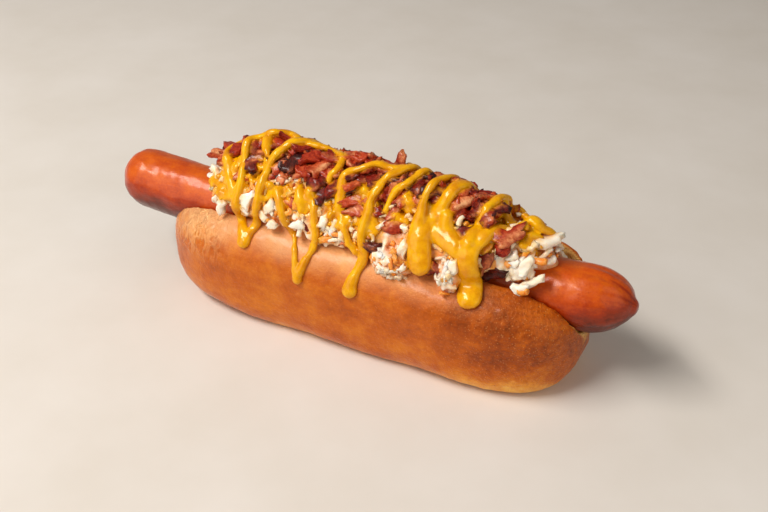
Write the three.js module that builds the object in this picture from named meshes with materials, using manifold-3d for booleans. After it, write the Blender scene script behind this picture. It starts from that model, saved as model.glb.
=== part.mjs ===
// A loaded hot dog: a long frank in a split brioche bun, heaped with slaw, chopped bacon and mustard.
// Units are millimetres. X runs along the frank, Z is up, and z = 0 is the flat underside of the bun.
// The origin is under the middle of the frank. The side at -Y is called near and the one at +Y far.

import * as THREE from 'three';
import { mergeVertices } from 'three/addons/utils/BufferGeometryUtils.js';
import Module from 'manifold-3d';

const wasm = await Module();
wasm.setup();

// ---------------------------------------------------------------- driving dimensions

const GAP = 0.35; // air between neighbouring pieces
const SLIVER = 0.1; // edges shorter than this are smoothed away
const NEAR = -1;
const FAR = 1;

const FRANK = {
  length: 226,
  radius: 12.7,
  axisHeight: 34,
  endLift: 2.3, // the two ends curve up
  sideBow: 3, // and towards the far side
  leftCap: 13.5, // length of the blunt left end
  rightCap: 20, // length of the longer right end
};

const BUN = {
  middle: 7.5,
  halfLength: 90,
  halfWidth: 29,
  waist: 22, // height of the widest line
  nearRise: 22.8, // from the waist to the crown of the near wall
  farRise: 32.5, // the far wall is pushed up higher
  depth: 23.5, // from the waist down, before the underside is pressed flat
  upperSquareness: 2.5, // 2 would be an ellipse
  lowerSquareness: 4.6,
};

const SLOT = {
  radius: FRANK.radius + GAP,
  flare: 0.27, // the walls lean outwards by this much per millimetre of height
  top: 62,
  edge: 16.2, // from the middle to the cut edge of a wall
};

const HEAP = {
  middle: 10.5,
  halfLength: 74.5,
  base: 44, // level of the bun's cut edges
  halfWidth: 18.5,
  rise: 18,
  sink: 9, // how far the slaw drops between frank and bun
  ridge: 6.5, // extra height of the bacon along the crest
  footSetback: 6, // how much further in the mound ends at its foot than at its crest
  drawIn: 0.26, // share of its half width by which the near side is drawn in near the right end
  drawnFrom: 57, // where along X that begins
  drawnTo: 64,
};

// Slaw that hangs over the near edge of the bun, as rounded lumps with so many shreds on each.
const SPILLS = [
  { x: 27, y: -19.5, z: 43.5, halfLength: 9.5, halfWidth: 4.4, halfHeight: 5, shreds: 7 },
  { x: 50.2, y: -19.6, z: 43.5, halfLength: 4.2, halfWidth: 3.8, halfHeight: 5, shreds: 3 },
];

const SHRED = {
  tries: 380, // places tried, of which those too close to mustard or another shred are skipped
  length: [5.5, 10.5],
  width: [2, 3.4],
  thickness: [1.5, 2.4],
  clearance: 3.6, // from the middle of a shred to the middle of a strand
  spacing: 5.4, // between the middles of two shreds
};

const MUSTARD = {
  flatness: 0.75, // thickness against width
  overCrust: 0.8, // height of a strand's middle over the bun
  overHeap: 1.1,
};

const BACON = {
  count: 21,
  middle: -1,
  halfLength: 62,
  halfWidth: 10.5,
  edge: 40, // degrees from the crest where the bacon ends and bare slaw begins
  length: [7, 13],
  width: [4, 7],
  thickness: [2, 3.2],
};

// Pieces of bacon that stand out of the heap: distance along X, degrees from the crest, height above
// the heap, turn about the vertical and slope in degrees.
const PROUD_BACON = [
  [-59, -4, 2.6, 20, 12],
  [-55, 16, 3.4, -30, -14],
  [-31, 8, 2.4, 70, 10],
  [18, 14, 3.4, 15, 78],
  [45, 12, 1.4, 60, 16],
];

// Mustard over the heap. Each row is a place on the heap: distance along X, degrees from the crest
// (negative towards the near side) and half the strand's width.
const HEAP_STRANDS = [
  [
    [-27, 18, 1.8], [-31, 8, 2], [-40, 12, 1.6], [-47, -2, 1.5],
    [-43, -37, 1.5], [-42, -60, 1.8], [-43.5, -90, 1.7],
  ],
  [[-14, 30, 1.4], [-23, 14, 1.6], [-30, -10, 1.6], [-32, -42, 1.7], [-33, -68, 1.6], [-31.5, -90, 1.6]],
  [[-23, 14, 1.5], [-14, 8, 1.4], [-6.6, 1, 1.4], [-5.3, -26, 1.5]],
  [[-52, -36, 1.8], [-48, -62, 2], [-45.5, -82, 1.5]],
  [[-19, -22, 1.5], [-15.5, -45, 2], [-15, -66, 1.5], [-17.5, -90, 1.3]],
  [[-13, -34, 1.6], [-9.5, -50, 2], [-5.5, -72, 1.8], [-5, -92, 1.4]],
  [[26, 34, 1.4], [17.6, 12, 1.6], [16, -18, 1.6], [13.8, -44, 1.8], [14.5, -70, 1.9], [16.5, -90, 1.6]],
  [[16, 26, 1.4], [9, 0, 1.6], [1, -18, 1.7], [2.5, -50, 2], [6.5, -72, 1.8], [8, -90, 1.6]],
  [[32, 28, 1.3], [26, 6, 1.5], [22.5, -18, 1.5], [20.7, -46, 1.3]],
  [[41, 30, 1.3], [34.3, 6, 1.5], [35.2, -28, 1.7], [33.5, -56, 1.8]],
  [[50, 24, 1.6], [44, 4, 2.4], [41, -31, 2.6], [36.5, -54, 3], [37, -76, 4], [39.5, -92, 4.6]],
  [[66, -14, 1.4], [60, -46, 2.4], [53.5, -66, 3.4], [56, -92, 3.6]],
  [[61, 30, 1.3], [57, -8, 1.6], [55.6, -40, 2], [54, -62, 2.2]],
  [[56, 34, 1.4], [63, 10, 1.7], [69, -4, 1.6], [77, 8, 1.3]],
  [[-50, 14, 1.3], [-55, 40, 1.5], [-52, 66, 1.7], [-48.5, 90, 1.5]],
  [[-34, 26, 1.4], [-40, 58, 1.6], [-45, 90, 1.6]],
  [[-14, 30, 1.4], [-20, 58, 1.6], [-22.5, 90, 1.6]],
  [[-3, 14, 1.4], [-11, 46, 1.7], [-18.5, 90, 1.5]],
  [[16, 26, 1.4], [7, 56, 1.6], [2.5, 92, 1.8]],
  [[26, 34, 1.4], [27.5, 62, 1.8], [24, 90, 1.6]],
  [[41, 30, 1.3], [36, 62, 1.6], [30, 90, 1.6]],
  [[56, 34, 1.4], [55, 64, 2.2], [51, 92, 2.6]],
  [[61, 30, 1.3], [69, 56, 1.6], [71, 88, 1.4]],
];

// Mustard that has run down the bun. Each row is a place on a wall: distance along X, height and half
// the strand's width. Where a run ends in a drop, drop is half that drop's width.
const BUN_RUNS = [
  { side: NEAR, rows: [[-42, 41.2, 1.6], [-39.3, 40.2, 1.8], [-35.4, 36.9, 2]], drop: 3 },
  { side: NEAR, rows: [[-32.6, 41.7, 1.5], [-34.4, 40.4, 1.5], [-35.6, 38, 1.5]] },
  { side: NEAR, rows: [[-16.8, 42, 1.3], [-14, 39.2, 1.3], [-10.2, 31, 1.4]] },
  { side: NEAR, rows: [[-5.6, 42, 1.5], [-6.6, 39.4, 1.6], [-9.4, 29, 1.7]], drop: 2.4 },
  { side: NEAR, rows: [[9.8, 42, 1.5], [12.8, 41, 1.6]] },
  { side: NEAR, rows: [[16, 42, 1.6], [14.2, 39.5, 1.8], [12.8, 30.6, 2]], drop: 3 },
  { side: NEAR, rows: [[56.2, 41.8, 3.8], [58.4, 40.6, 4]], drop: 4.4 },
  { side: FAR, rows: [[-48.5, 47.1, 1.5], [-46.5, 39, 1.8]], drop: 2.8 },
  { side: FAR, rows: [[-22.5, 50.2, 1.6], [-20, 36, 1.6]], drop: 2.5 },
  { side: FAR, rows: [[2.5, 50.6, 1.7], [4, 42, 1.8]], drop: 3.2 },
  { side: FAR, rows: [[24, 50.5, 1.5], [27, 35, 1.5]], drop: 2.4 },
  { side: FAR, rows: [[51, 50.2, 2.5], [52, 43, 2.8]], drop: 3.8 },
];

// ---------------------------------------------------------------- helpers

const clamp = THREE.MathUtils.clamp;
const degrees = THREE.MathUtils.degToRad;

/** Seeded random numbers in 0..1, so that every run draws the same pieces. */
function randomSource(seed) {
  let state = seed;
  return () => {
    state = (state + 0x6d2b79f5) | 0;
    let value = Math.imul(state ^ (state >>> 15), 1 | state);
    value = (value + Math.imul(value ^ (value >>> 7), 61 | value)) ^ value;
    return ((value ^ (value >>> 14)) >>> 0) / 4294967296;
  };
}

/** One number between the two ends of a range. */
function pick(random, [low, high]) {
  return low + (high - low) * random();
}

/** A power that keeps the sign, for the squared-off ellipses of the sections. */
function signedPower(value, power) {
  return Math.sign(value) * Math.abs(value) ** power;
}

/** How far a rounded end has closed, from 1 along the body to 0 at its tip (position -1..1). */
function endTaper(position, sharpness, roundness) {
  return (1 - Math.min(1, Math.abs(position)) ** sharpness) ** (1 / roundness);
}

/**
 * A closed body from a sphere whose poles lie along X. place(along, angle) gives each vertex its
 * point: along runs from -1 to 1, and angle is measured from the top towards the far side.
 */
function warpedSphere(around, rings, place) {
  const geometry = new THREE.SphereGeometry(1, around, rings);
  const position = geometry.attributes.position;
  const vertex = new THREE.Vector3();
  for (let i = 0; i < position.count; i += 1) {
    vertex.fromBufferAttribute(position, i);
    const point = place(clamp(vertex.y, -1, 1), Math.atan2(vertex.z, vertex.x));
    position.setXYZ(i, point.x, point.y, point.z);
  }
  return geometry;
}

/** The same body with only its position left, its shared vertices merged and no collapsed triangles. */
function welded(geometry) {
  const bare = geometry.index ? geometry.toNonIndexed() : geometry.clone();
  bare.deleteAttribute('normal');
  bare.deleteAttribute('uv');
  const merged = mergeVertices(bare, 1e-3);
  const corners = merged.index.array;
  const kept = [];
  for (let i = 0; i < corners.length; i += 3) {
    const [a, b, c] = corners.slice(i, i + 3);
    if (a !== b && b !== c && c !== a) {
      kept.push(a, b, c);
    }
  }
  merged.setIndex(kept);
  return merged;
}

/** A closed geometry as a solid that can be joined and cut. */
function solid(geometry) {
  const bare = welded(geometry);
  return new wasm.Manifold(new wasm.Mesh({
    numProp: 3,
    vertProperties: new Float32Array(bare.attributes.position.array),
    triVerts: new Uint32Array(bare.index.array),
  }));
}

/** All solids of a list in one. */
function joined(solids) {
  return solids.reduce((whole, next) => whole.add(next));
}

/** The outer skin of a solid's largest body, without scraps and sealed hollows. */
function largestBody(whole) {
  return whole.decompose().reduce((best, body) => (body.volume() > best.volume() ? body : best));
}

/** A solid's surface as a geometry. */
function surfaceOf(body) {
  const mesh = body.getMesh();
  const geometry = new THREE.BufferGeometry();
  geometry.setAttribute('position', new THREE.BufferAttribute(mesh.vertProperties, 3));
  geometry.setIndex(new THREE.BufferAttribute(mesh.triVerts, 1));
  return geometry;
}

/** Whether every edge of a surface, once welded, belongs to exactly two of its triangles. */
function closesCleanly(geometry) {
  const corners = welded(geometry).index.array;
  const edges = new Set();
  for (let i = 0; i < corners.length; i += 3) {
    for (let k = 0; k < 3; k += 1) {
      edges.add(`${corners[i + k]}>${corners[i + ((k + 1) % 3)]}`);
    }
  }
  return edges.size === corners.length && corners.length === geometry.index.count;
}

/**
 * The one body of a solid as a shaded geometry, with the slivers of its cuts smoothed away. Welding the
 * corners can loosen a scrap or fold a sliver flat, so it is repeated, and a surface that then still
 * touches itself along an edge is smoothed a little more.
 */
function geometryOf(whole) {
  for (let sliver = SLIVER; sliver < 3 * SLIVER; sliver += 0.01) {
    let body = largestBody(whole.simplify(sliver));
    for (let pass = 0; pass < 3; pass += 1) {
      body = largestBody(solid(surfaceOf(body)));
    }
    const geometry = surfaceOf(body);
    if (closesCleanly(geometry) && solid(geometry).decompose().length === 1) {
      geometry.computeVertexNormals();
      return geometry;
    }
  }
  throw new Error('the surface touches itself');
}

// ---------------------------------------------------------------- frank

/** The frank's middle line, which curves up and sideways towards both ends. */
function frankCentre(x) {
  const bend = (2 * x / FRANK.length) ** 2;
  return new THREE.Vector3(x, FRANK.sideBow * bend, FRANK.axisHeight + FRANK.endLift * bend);
}

/** The frank's radius, which closes in a blunt left end and a longer right one. */
function frankRadius(x) {
  const fromLeft = (x + FRANK.length / 2) / FRANK.leftCap;
  const fromRight = (FRANK.length / 2 - x) / FRANK.rightCap;
  const closing = 1 - Math.min(1, Math.max(0, Math.min(fromLeft, fromRight)));
  return FRANK.radius * Math.sqrt(1 - closing ** 2.25);
}

function frank(grow = 0) {
  const reach = FRANK.length / 2;
  return warpedSphere(22, 20, (along, angle) => {
    const x = reach * along;
    const radius = frankRadius(x) + (Math.abs(along) < 1 ? grow : 0);
    const centre = frankCentre(x + grow * along);
    return centre.add(new THREE.Vector3(0, radius * Math.sin(angle), radius * Math.cos(angle)));
  });
}

// ---------------------------------------------------------------- bun

/** Half width, rise of the near and far wall, depth and fullness (0..1) of the bun's section at x. */
function bunSection(x) {
  const position = (x - BUN.middle) / BUN.halfLength;
  const right = position > 0;
  return {
    width: BUN.halfWidth * endTaper(position, right ? 6 : 5, 2.2),
    nearRise: BUN.nearRise * (right ? endTaper(position, 4.5, 2.4) : endTaper(position, 3.6, 2.8)),
    farRise: BUN.farRise * (right ? endTaper(position, 8, 2.8) : endTaper(position, 3.2, 2.4)),
    depth: BUN.depth * (right ? endTaper(position, 10, 2.8) : endTaper(position, 6, 2)),
    fullness: endTaper(position, 4, 2.4),
  };
}

/** The slow wave of the crust along and around the bun. */
function crustWave(x, angle) {
  return 0.35 * Math.sin(0.061 * x + 1.3) * Math.cos(2 * angle) + 0.3 * Math.sin(0.13 * x + 3 * angle);
}

/** The uncut bun: a squared-off oval that rests on a flat. */
function bunLoaf(grow) {
  const reach = BUN.halfLength + grow;
  return warpedSphere(28, 18, (along, angle) => {
    const x = BUN.middle + reach * along;
    const section = bunSection(BUN.middle + BUN.halfLength * along);
    const up = Math.cos(angle) > 0;
    const wall = Math.sin(angle) < 0 ? section.nearRise : section.farRise;
    const crown = THREE.MathUtils.lerp(section.nearRise, wall, Math.min(1, Math.abs(Math.sin(angle)) * 3));
    const height = up ? crown : section.depth;
    const power = 2 / (up ? BUN.upperSquareness : BUN.lowerSquareness);
    const tip = Math.abs(along) < 1 ? grow : 0;
    const wave = crustWave(x, angle) * section.fullness;
    const width = section.width + tip + wave;
    const y = width * signedPower(Math.sin(angle), power);
    const z = BUN.waist + (height + tip + wave) * signedPower(Math.cos(angle), power);
    return new THREE.Vector3(x, y, Math.max(z, -grow));
  });
}

/** What the knife took out: a round bed for the frank that opens upwards, right through the bun. */
function slotCutter(grow) {
  const radius = SLOT.radius - grow;
  const opening = radius + SLOT.flare * (SLOT.top - FRANK.axisHeight);
  const outline = new THREE.Shape();
  outline.moveTo(opening, SLOT.top - FRANK.axisHeight);
  outline.lineTo(-opening, SLOT.top - FRANK.axisHeight);
  outline.lineTo(-radius, 0);
  outline.absarc(0, 0, radius, Math.PI, 2 * Math.PI, false);
  const length = FRANK.length;
  const geometry = new THREE.ExtrudeGeometry(outline, {
    depth: length, steps: 10, bevelEnabled: false, curveSegments: 10,
  });
  const position = geometry.attributes.position;
  for (let i = 0; i < position.count; i += 1) {
    const centre = frankCentre(position.getZ(i) - length / 2);
    position.setXYZ(i, centre.x, centre.y + position.getX(i), centre.z + position.getY(i));
  }
  return geometry;
}

/** A point on the bun's wall, up to the slot's edge, and the direction that faces out of it. */
function bunWallPoint(x, height, side, lift) {
  const section = bunSection(x);
  const up = height > BUN.waist;
  const reach = up ? (side === NEAR ? section.nearRise : section.farRise) : section.depth;
  const power = up ? BUN.upperSquareness : BUN.lowerSquareness;
  const edge = (1 - Math.min(1, SLOT.edge / section.width) ** power) ** (1 / power);
  const share = Math.min(Math.abs(height - BUN.waist) / reach, edge);
  const z = BUN.waist + (up ? 1 : -1) * share * reach;
  const y = section.width * (1 - share ** power) ** (1 / power);
  const across = (y / section.width) ** (power / 2);
  const angle = Math.atan2(side * across, (up ? 1 : -1) * share ** (power / 2));
  const normal = new THREE.Vector3(
    0,
    side * (y / section.width) ** (power - 1) / section.width,
    (up ? 1 : -1) * share ** (power - 1) / reach,
  ).normalize();
  const point = new THREE.Vector3(x, side * y, z);
  return { point: point.addScaledVector(normal, lift + crustWave(x, angle) * section.fullness), normal };
}

// ---------------------------------------------------------------- mustard

/** The smooth line through control rows of three numbers. */
function guideThrough(rows) {
  return new THREE.CatmullRomCurve3(rows.map((row) => new THREE.Vector3(...row)), false, 'centripetal');
}

/**
 * A strand of mustard along control rows [place, place, half width]. lieOn(a, b) gives the point of a
 * place and the outward direction there. The strand is flatter than it is wide and has round ends.
 */
function strand(rows, lieOn, grow) {
  const guide = guideThrough(rows);
  const at = (t) => {
    const row = guide.getPoint(clamp(t, 0, 1));
    return { ...lieOn(row.x, row.y), half: row.z };
  };
  return warpedSphere(5, rows.length + 3, (along, angle) => {
    const t = 0.5 + 0.28 * along + 0.22 * (2 / Math.PI) * Math.asin(along);
    const here = at(t);
    const tangent = at(t + 0.02).point.sub(at(t - 0.02).point).normalize();
    const across = new THREE.Vector3().crossVectors(here.normal, tangent).normalize();
    const half = here.half * endTaper(along, 10, 2);
    const tip = Math.abs(along) < 1 ? grow : 0;
    return here.point
      .addScaledVector(tangent, along * grow)
      .addScaledVector(across, (half + tip) * Math.sin(angle))
      .addScaledVector(here.normal, (MUSTARD.flatness * half + tip) * Math.cos(angle));
  });
}

/** A round drop of mustard on a surface. */
function drop({ point, normal }, half, grow) {
  const across = new THREE.Vector3(1, 0, 0);
  const slope = new THREE.Vector3().crossVectors(normal, across);
  return warpedSphere(7, 5, (along, angle) => {
    const close = Math.sqrt(1 - along * along);
    return point.clone()
      .addScaledVector(across, (half + grow) * along)
      .addScaledVector(slope, (1.15 * half + grow) * close * Math.sin(angle))
      .addScaledVector(normal, (MUSTARD.flatness * half + grow) * close * Math.cos(angle));
  });
}

/** The mustard that has run down the bun, each run with its drop where it has one. */
function bunRuns(grow) {
  return BUN_RUNS.flatMap(({ side, rows, drop: size }) => {
    const [x, z] = rows[rows.length - 1];
    const run = solid(strand(rows, (a, b) => bunWallPoint(a, b, side, MUSTARD.overCrust), grow));
    return size ? [run, solid(drop(bunWallPoint(x, z, side, MUSTARD.overCrust), size, grow))] : [run];
  });
}

/** The mustard on the heap. */
function heapStrands(grow) {
  const lieOn = (x, angle) => heapPoint(x, degrees(angle), MUSTARD.overHeap);
  return HEAP_STRANDS.map((rows) => solid(strand(rows, lieOn, grow)));
}

function bun(grow = 0) {
  const loaf = solid(bunLoaf(grow)).subtract(solid(slotCutter(grow)));
  return largestBody(joined([loaf, ...bunRuns(grow)]));
}

// ---------------------------------------------------------------- heap of slaw

/** Half width and height factors of the heap at x. */
function heapTaper(x) {
  const position = (x - HEAP.middle) / HEAP.halfLength;
  return { width: endTaper(position, 6, 2.4), height: endTaper(position, position > 0 ? 3.2 : 4.5, 2) };
}

/** What is left of the heap's half width where its near side is drawn in, and 1 elsewhere. */
function drawnWidth(x, angle) {
  const share = THREE.MathUtils.smoothstep(x, HEAP.drawnFrom, HEAP.drawnTo);
  return Math.sin(angle) < 0 ? 1 - HEAP.drawIn * share : 1;
}

/** A point on the heap, an angle away from its crest, and the direction that faces out of it. */
function heapPoint(x, angle, lift) {
  const taper = heapTaper(x);
  const crest = HEAP.ridge * Math.max(0, Math.cos(2 * angle));
  const wide = HEAP.halfWidth * taper.width * drawnWidth(x, angle);
  const high = Math.cos(angle) > 0 ? (HEAP.rise + crest) * taper.height : HEAP.sink * taper.width;
  const normal = new THREE.Vector3(0, Math.sin(angle) / wide, Math.cos(angle) / high).normalize();
  const point = new THREE.Vector3(x, wide * Math.sin(angle), HEAP.base + high * Math.cos(angle));
  return { point: point.addScaledVector(normal, lift), normal };
}

/** The bare mound, uneven like packed slaw. */
function slawCore(grow) {
  return warpedSphere(16, 16, (along, angle) => {
    const x = HEAP.middle + (HEAP.halfLength - HEAP.footSetback * Math.sin(angle) ** 2) * along;
    const taper = heapTaper(HEAP.middle + HEAP.halfLength * along);
    const tip = Math.abs(along) < 1 ? grow : 0;
    const lump = 0.7 * Math.sin(0.21 * x + 2 * angle) + 0.5 * Math.sin(0.37 * x - 3 * angle);
    const wide = (HEAP.halfWidth + lump) * taper.width * drawnWidth(x, angle) + tip;
    const high = (Math.cos(angle) > 0 ? (HEAP.rise + lump) * taper.height : HEAP.sink * taper.width) + tip;
    return new THREE.Vector3(x + grow * along, wide * Math.sin(angle), HEAP.base + high * Math.cos(angle));
  });
}

/** One lump of slaw that hangs over the near edge of the bun. */
function slawSpill(spill, grow) {
  return warpedSphere(8, 8, (along, angle) => {
    const close = Math.sqrt(1 - along * along);
    const tip = Math.abs(along) < 1 ? grow : 0;
    return new THREE.Vector3(
      spill.x + (spill.halfLength + grow) * along,
      spill.y + (spill.halfWidth * close + tip) * Math.sin(angle),
      spill.z + (spill.halfHeight * close + tip) * Math.cos(angle),
    );
  });
}

/** Turns and moves a piece so that its Z faces out of the heap at a place. */
function laidOnHeap(geometry, x, angle, lift, spin, tilt) {
  const { point, normal } = heapPoint(x, angle, lift);
  const lengthways = new THREE.Vector3(1, 0, 0);
  const across = new THREE.Vector3().crossVectors(normal, lengthways).normalize();
  const frame = new THREE.Matrix4().makeBasis(lengthways, across, normal).setPosition(point);
  frame.multiply(new THREE.Matrix4().makeRotationZ(spin)).multiply(new THREE.Matrix4().makeRotationY(tilt));
  return geometry.applyMatrix4(frame);
}

/** Points every few millimetres along the middle of each strand on the heap. */
const STRAND_POINTS = HEAP_STRANDS.flatMap((rows) => (
  guideThrough(rows).getPoints(4 * rows.length).map((row) => heapPoint(row.x, degrees(row.y), 0).point)
));

/** Whether a place is further than reach from every one of the points. */
function isClear(place, points, reach) {
  return points.every((point) => point.distanceTo(place) > reach);
}

/** Length, width and thickness of one shred. */
function shredSize(random) {
  return [pick(random, SHRED.length), pick(random, SHRED.width), pick(random, SHRED.thickness)];
}

/** A shred as a block, larger by grow on every side. */
function shredBlock(size, grow) {
  return new THREE.BoxGeometry(...size.map((edge) => edge + 2 * grow));
}

/** Cabbage and carrot shreds: small blocks all over the bare parts of the mound, apart from each other. */
function shreds(grow) {
  const random = randomSource(11);
  const taken = [];
  const blocks = [];
  for (let i = 0; i < SHRED.tries; i += 1) {
    const size = shredSize(random);
    const position = 0.97 * (2 * (i + random()) / SHRED.tries - 1);
    const x = HEAP.middle + position * HEAP.halfLength;
    const pastBacon = Math.abs(x - BACON.middle) > BACON.halfLength;
    const side = i % 5 < 3 ? NEAR : FAR;
    const angle = side * degrees(pick(random, [pastBacon ? 0 : 38, 104]));
    const lift = pick(random, [-0.2, 0.9]);
    const spin = pick(random, [0, Math.PI]);
    const tilt = pick(random, [-0.5, 0.5]);
    const place = heapPoint(x, angle, 0).point;
    if (isClear(place, STRAND_POINTS, SHRED.clearance) && isClear(place, taken, SHRED.spacing)) {
      taken.push(place);
      blocks.push(solid(laidOnHeap(shredBlock(size, grow), x, angle, lift, spin, tilt)));
    }
  }
  return blocks;
}

/** Shreds on a lump of slaw that hangs over the bun's edge. */
function spillShreds(spill, grow) {
  const random = randomSource(5);
  return Array.from({ length: spill.shreds }, (_, i) => {
    const size = shredSize(random);
    const position = 0.85 * (2 * (i + random()) / spill.shreds - 1);
    const close = Math.sqrt(1 - position * position);
    const angle = degrees(pick(random, [-120, -60]));
    const block = shredBlock(size, grow);
    block.rotateX(pick(random, [0, Math.PI]));
    block.rotateY(pick(random, [-0.9, 0.9]));
    block.rotateZ(pick(random, [-0.4, 0.4]));
    block.translate(
      spill.x + spill.halfLength * position,
      spill.y + spill.halfWidth * close * Math.sin(angle),
      spill.z + spill.halfHeight * close * Math.cos(angle),
    );
    return solid(block);
  });
}

/** The part of the air above the crest where mustard lies on bacon and not on slaw. */
function crestWedge(grow) {
  const lean = (HEAP.halfWidth / HEAP.rise) * Math.tan(degrees(BACON.edge));
  const height = 50;
  const foot = 0.01 + 1.5 * grow; // half width at the bottom
  const outline = new THREE.Shape();
  outline.moveTo(-foot, 0);
  outline.lineTo(foot, 0);
  outline.lineTo(foot + lean * height, height);
  outline.lineTo(-foot - lean * height, height);
  const length = FRANK.length;
  const geometry = new THREE.ExtrudeGeometry(outline, { depth: length, bevelEnabled: false });
  const place = new THREE.Matrix4().makeBasis(
    new THREE.Vector3(0, 1, 0),
    new THREE.Vector3(0, 0, 1),
    new THREE.Vector3(1, 0, 0),
  ).setPosition(-length / 2, 0, HEAP.base);
  return geometry.applyMatrix4(place);
}

function slaw(grow = 0) {
  const strands = joined(heapStrands(grow)).subtract(solid(crestWedge(GAP - grow)));
  const spills = SPILLS.flatMap((spill) => [solid(slawSpill(spill, grow)), ...spillShreds(spill, grow)]);
  return joined([solid(slawCore(grow)), ...spills, ...shreds(grow), strands]);
}

// ---------------------------------------------------------------- bacon

/** The layer of small crumbs under the larger pieces of bacon. */
function baconBed() {
  return warpedSphere(8, 12, (along, angle) => {
    const x = BACON.middle + BACON.halfLength * along;
    const close = endTaper(along, 4, 2);
    const lump = 0.6 * Math.sin(0.35 * x + 2 * angle);
    const crest = heapPoint(x, 0, 0).point.z;
    return new THREE.Vector3(
      x,
      (BACON.halfWidth + lump) * close * Math.sin(angle),
      crest - 5 + (4.6 + lump) * close * Math.cos(angle),
    );
  });
}

/** One chopped piece: a short strip with uneven corners, curled where it has a middle. */
function baconPiece(random, bends) {
  const length = pick(random, BACON.length);
  const width = pick(random, BACON.width);
  const thickness = pick(random, BACON.thickness);
  const piece = welded(new THREE.BoxGeometry(length, width, thickness, bends, 1, 1));
  const curl = pick(random, [-1.6, 1.6]);
  const position = piece.attributes.position;
  for (let i = 0; i < position.count; i += 1) {
    const x = position.getX(i);
    position.setXYZ(
      i,
      x + pick(random, [-0.9, 0.9]),
      position.getY(i) + pick(random, [-0.8, 0.8]),
      position.getZ(i) + pick(random, [-0.3, 0.3]) + curl * (2 * x / length) ** 2,
    );
  }
  return piece;
}

/** Chopped bacon along the crest: pieces scattered over it, then those that stand out of it. */
function baconPieces() {
  const random = randomSource(29);
  const scattered = Array.from({ length: BACON.count }, (_, i) => {
    const piece = baconPiece(random, i % 3 ? 1 : 2);
    const x = BACON.middle + (2 * (i + random()) / BACON.count - 1) * BACON.halfLength;
    const angle = degrees(pick(random, [-34, 34]));
    const lift = pick(random, [-0.8, 1.4]);
    const spin = pick(random, [0, Math.PI]);
    const tilt = pick(random, [-0.6, 0.6]);
    return laidOnHeap(piece, x, angle, lift, spin, tilt);
  });
  const proud = PROUD_BACON.map(([x, angle, lift, spin, tilt]) => (
    laidOnHeap(baconPiece(random, 1), x, degrees(angle), lift, degrees(spin), degrees(tilt))
  ));
  return [...scattered, ...proud].map(solid);
}

function bacon() {
  const strands = joined(heapStrands(0)).intersect(solid(crestWedge(0)));
  return joined([solid(baconBed()), ...baconPieces(), strands]);
}

// ---------------------------------------------------------------- assembly

function named(name, geometry, color, roughness) {
  const mesh = new THREE.Mesh(geometry, new THREE.MeshStandardMaterial({ color, roughness, metalness: 0 }));
  mesh.name = name;
  return mesh;
}

const aroundFrank = solid(frank(GAP));
const slawOnBun = largestBody(slaw().subtract(bun(GAP)).subtract(aroundFrank));
const baconOnSlaw = largestBody(bacon().subtract(slaw(GAP)).subtract(bun(GAP)));

const hotDog = new THREE.Group();
hotDog.add(named('bun', geometryOf(bun()), 0xc4702a, 0.35));
hotDog.add(named('sausage', geometryOf(solid(frank())), 0xa8401c, 0.3));
hotDog.add(named('slaw_heap', geometryOf(slawOnBun), 0xf0e4cc, 0.5));
hotDog.add(named('bacon_topping', geometryOf(baconOnSlaw), 0x7c2c20, 0.45));

export default hotDog;
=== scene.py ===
"""The looks of a loaded hot dog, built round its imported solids.

The shapes repeat the formulas of the part's own source with much finer meshes. All lengths here are
millimetres, and mesh_object turns them into metres. X runs along the frank, -Y is the near side and Z is up.
A place on the heap is given by its distance along X and its angle from the crest, in degrees, which is
negative towards the near side.
"""

import math

import bpy
import numpy as np
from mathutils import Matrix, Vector, noise
from mathutils.bvhtree import BVHTree


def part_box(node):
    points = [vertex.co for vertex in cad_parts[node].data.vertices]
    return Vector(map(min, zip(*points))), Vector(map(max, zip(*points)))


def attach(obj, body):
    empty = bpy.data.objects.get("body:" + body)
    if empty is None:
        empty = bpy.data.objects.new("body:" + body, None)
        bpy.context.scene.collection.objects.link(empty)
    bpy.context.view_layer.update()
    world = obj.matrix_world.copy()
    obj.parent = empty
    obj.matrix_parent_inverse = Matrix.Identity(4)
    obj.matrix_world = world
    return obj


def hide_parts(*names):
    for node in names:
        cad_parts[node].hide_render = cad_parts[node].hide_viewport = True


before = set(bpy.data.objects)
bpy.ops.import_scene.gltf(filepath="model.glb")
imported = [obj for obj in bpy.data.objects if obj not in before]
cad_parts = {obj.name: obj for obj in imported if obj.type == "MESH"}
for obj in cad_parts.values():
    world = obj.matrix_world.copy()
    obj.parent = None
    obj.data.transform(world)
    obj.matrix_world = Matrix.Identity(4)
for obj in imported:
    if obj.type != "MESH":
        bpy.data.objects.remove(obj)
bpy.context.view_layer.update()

MM = 0.001
NEAR = -1
FAR = 1
SMOOTHING_FACTOR = 0.5

# ---------------------------------------------------------------- driving dimensions, as in the part's source


def box_along_x(node):
    """Where a node of the frame begins and ends along X."""
    low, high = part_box(node)
    return low.x / MM, high.x / MM


frank_left, frank_right = box_along_x("sausage")
bun_left, bun_right = box_along_x("bun")

FRANK_LENGTH = frank_right - frank_left
FRANK_RADIUS = 12.7
FRANK_AXIS = 34
FRANK_END_LIFT = 2.3
FRANK_BOW = 3
FRANK_LEFT_CAP = 13.5
FRANK_RIGHT_CAP = 20
FRANK_CAP_POWER = 2.25

BUN_MIDDLE = (bun_left + bun_right) / 2
BUN_HALF_LENGTH = (bun_right - bun_left) / 2
BUN_HALF_WIDTH = 29
BUN_WAIST = 22
BUN_NEAR_RISE = 22.8
BUN_FAR_RISE = 32.5
BUN_DEPTH = 23.5
BUN_UPPER_POWER = 2.5
BUN_LOWER_POWER = 4.6

SLOT_RADIUS = FRANK_RADIUS + 0.1
SLOT_FLARE = 0.27
SLOT_TOP = 62
SLOT_EDGE = 16.2
BED_STEPS = 24
BED_SECTIONS = 40

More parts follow.
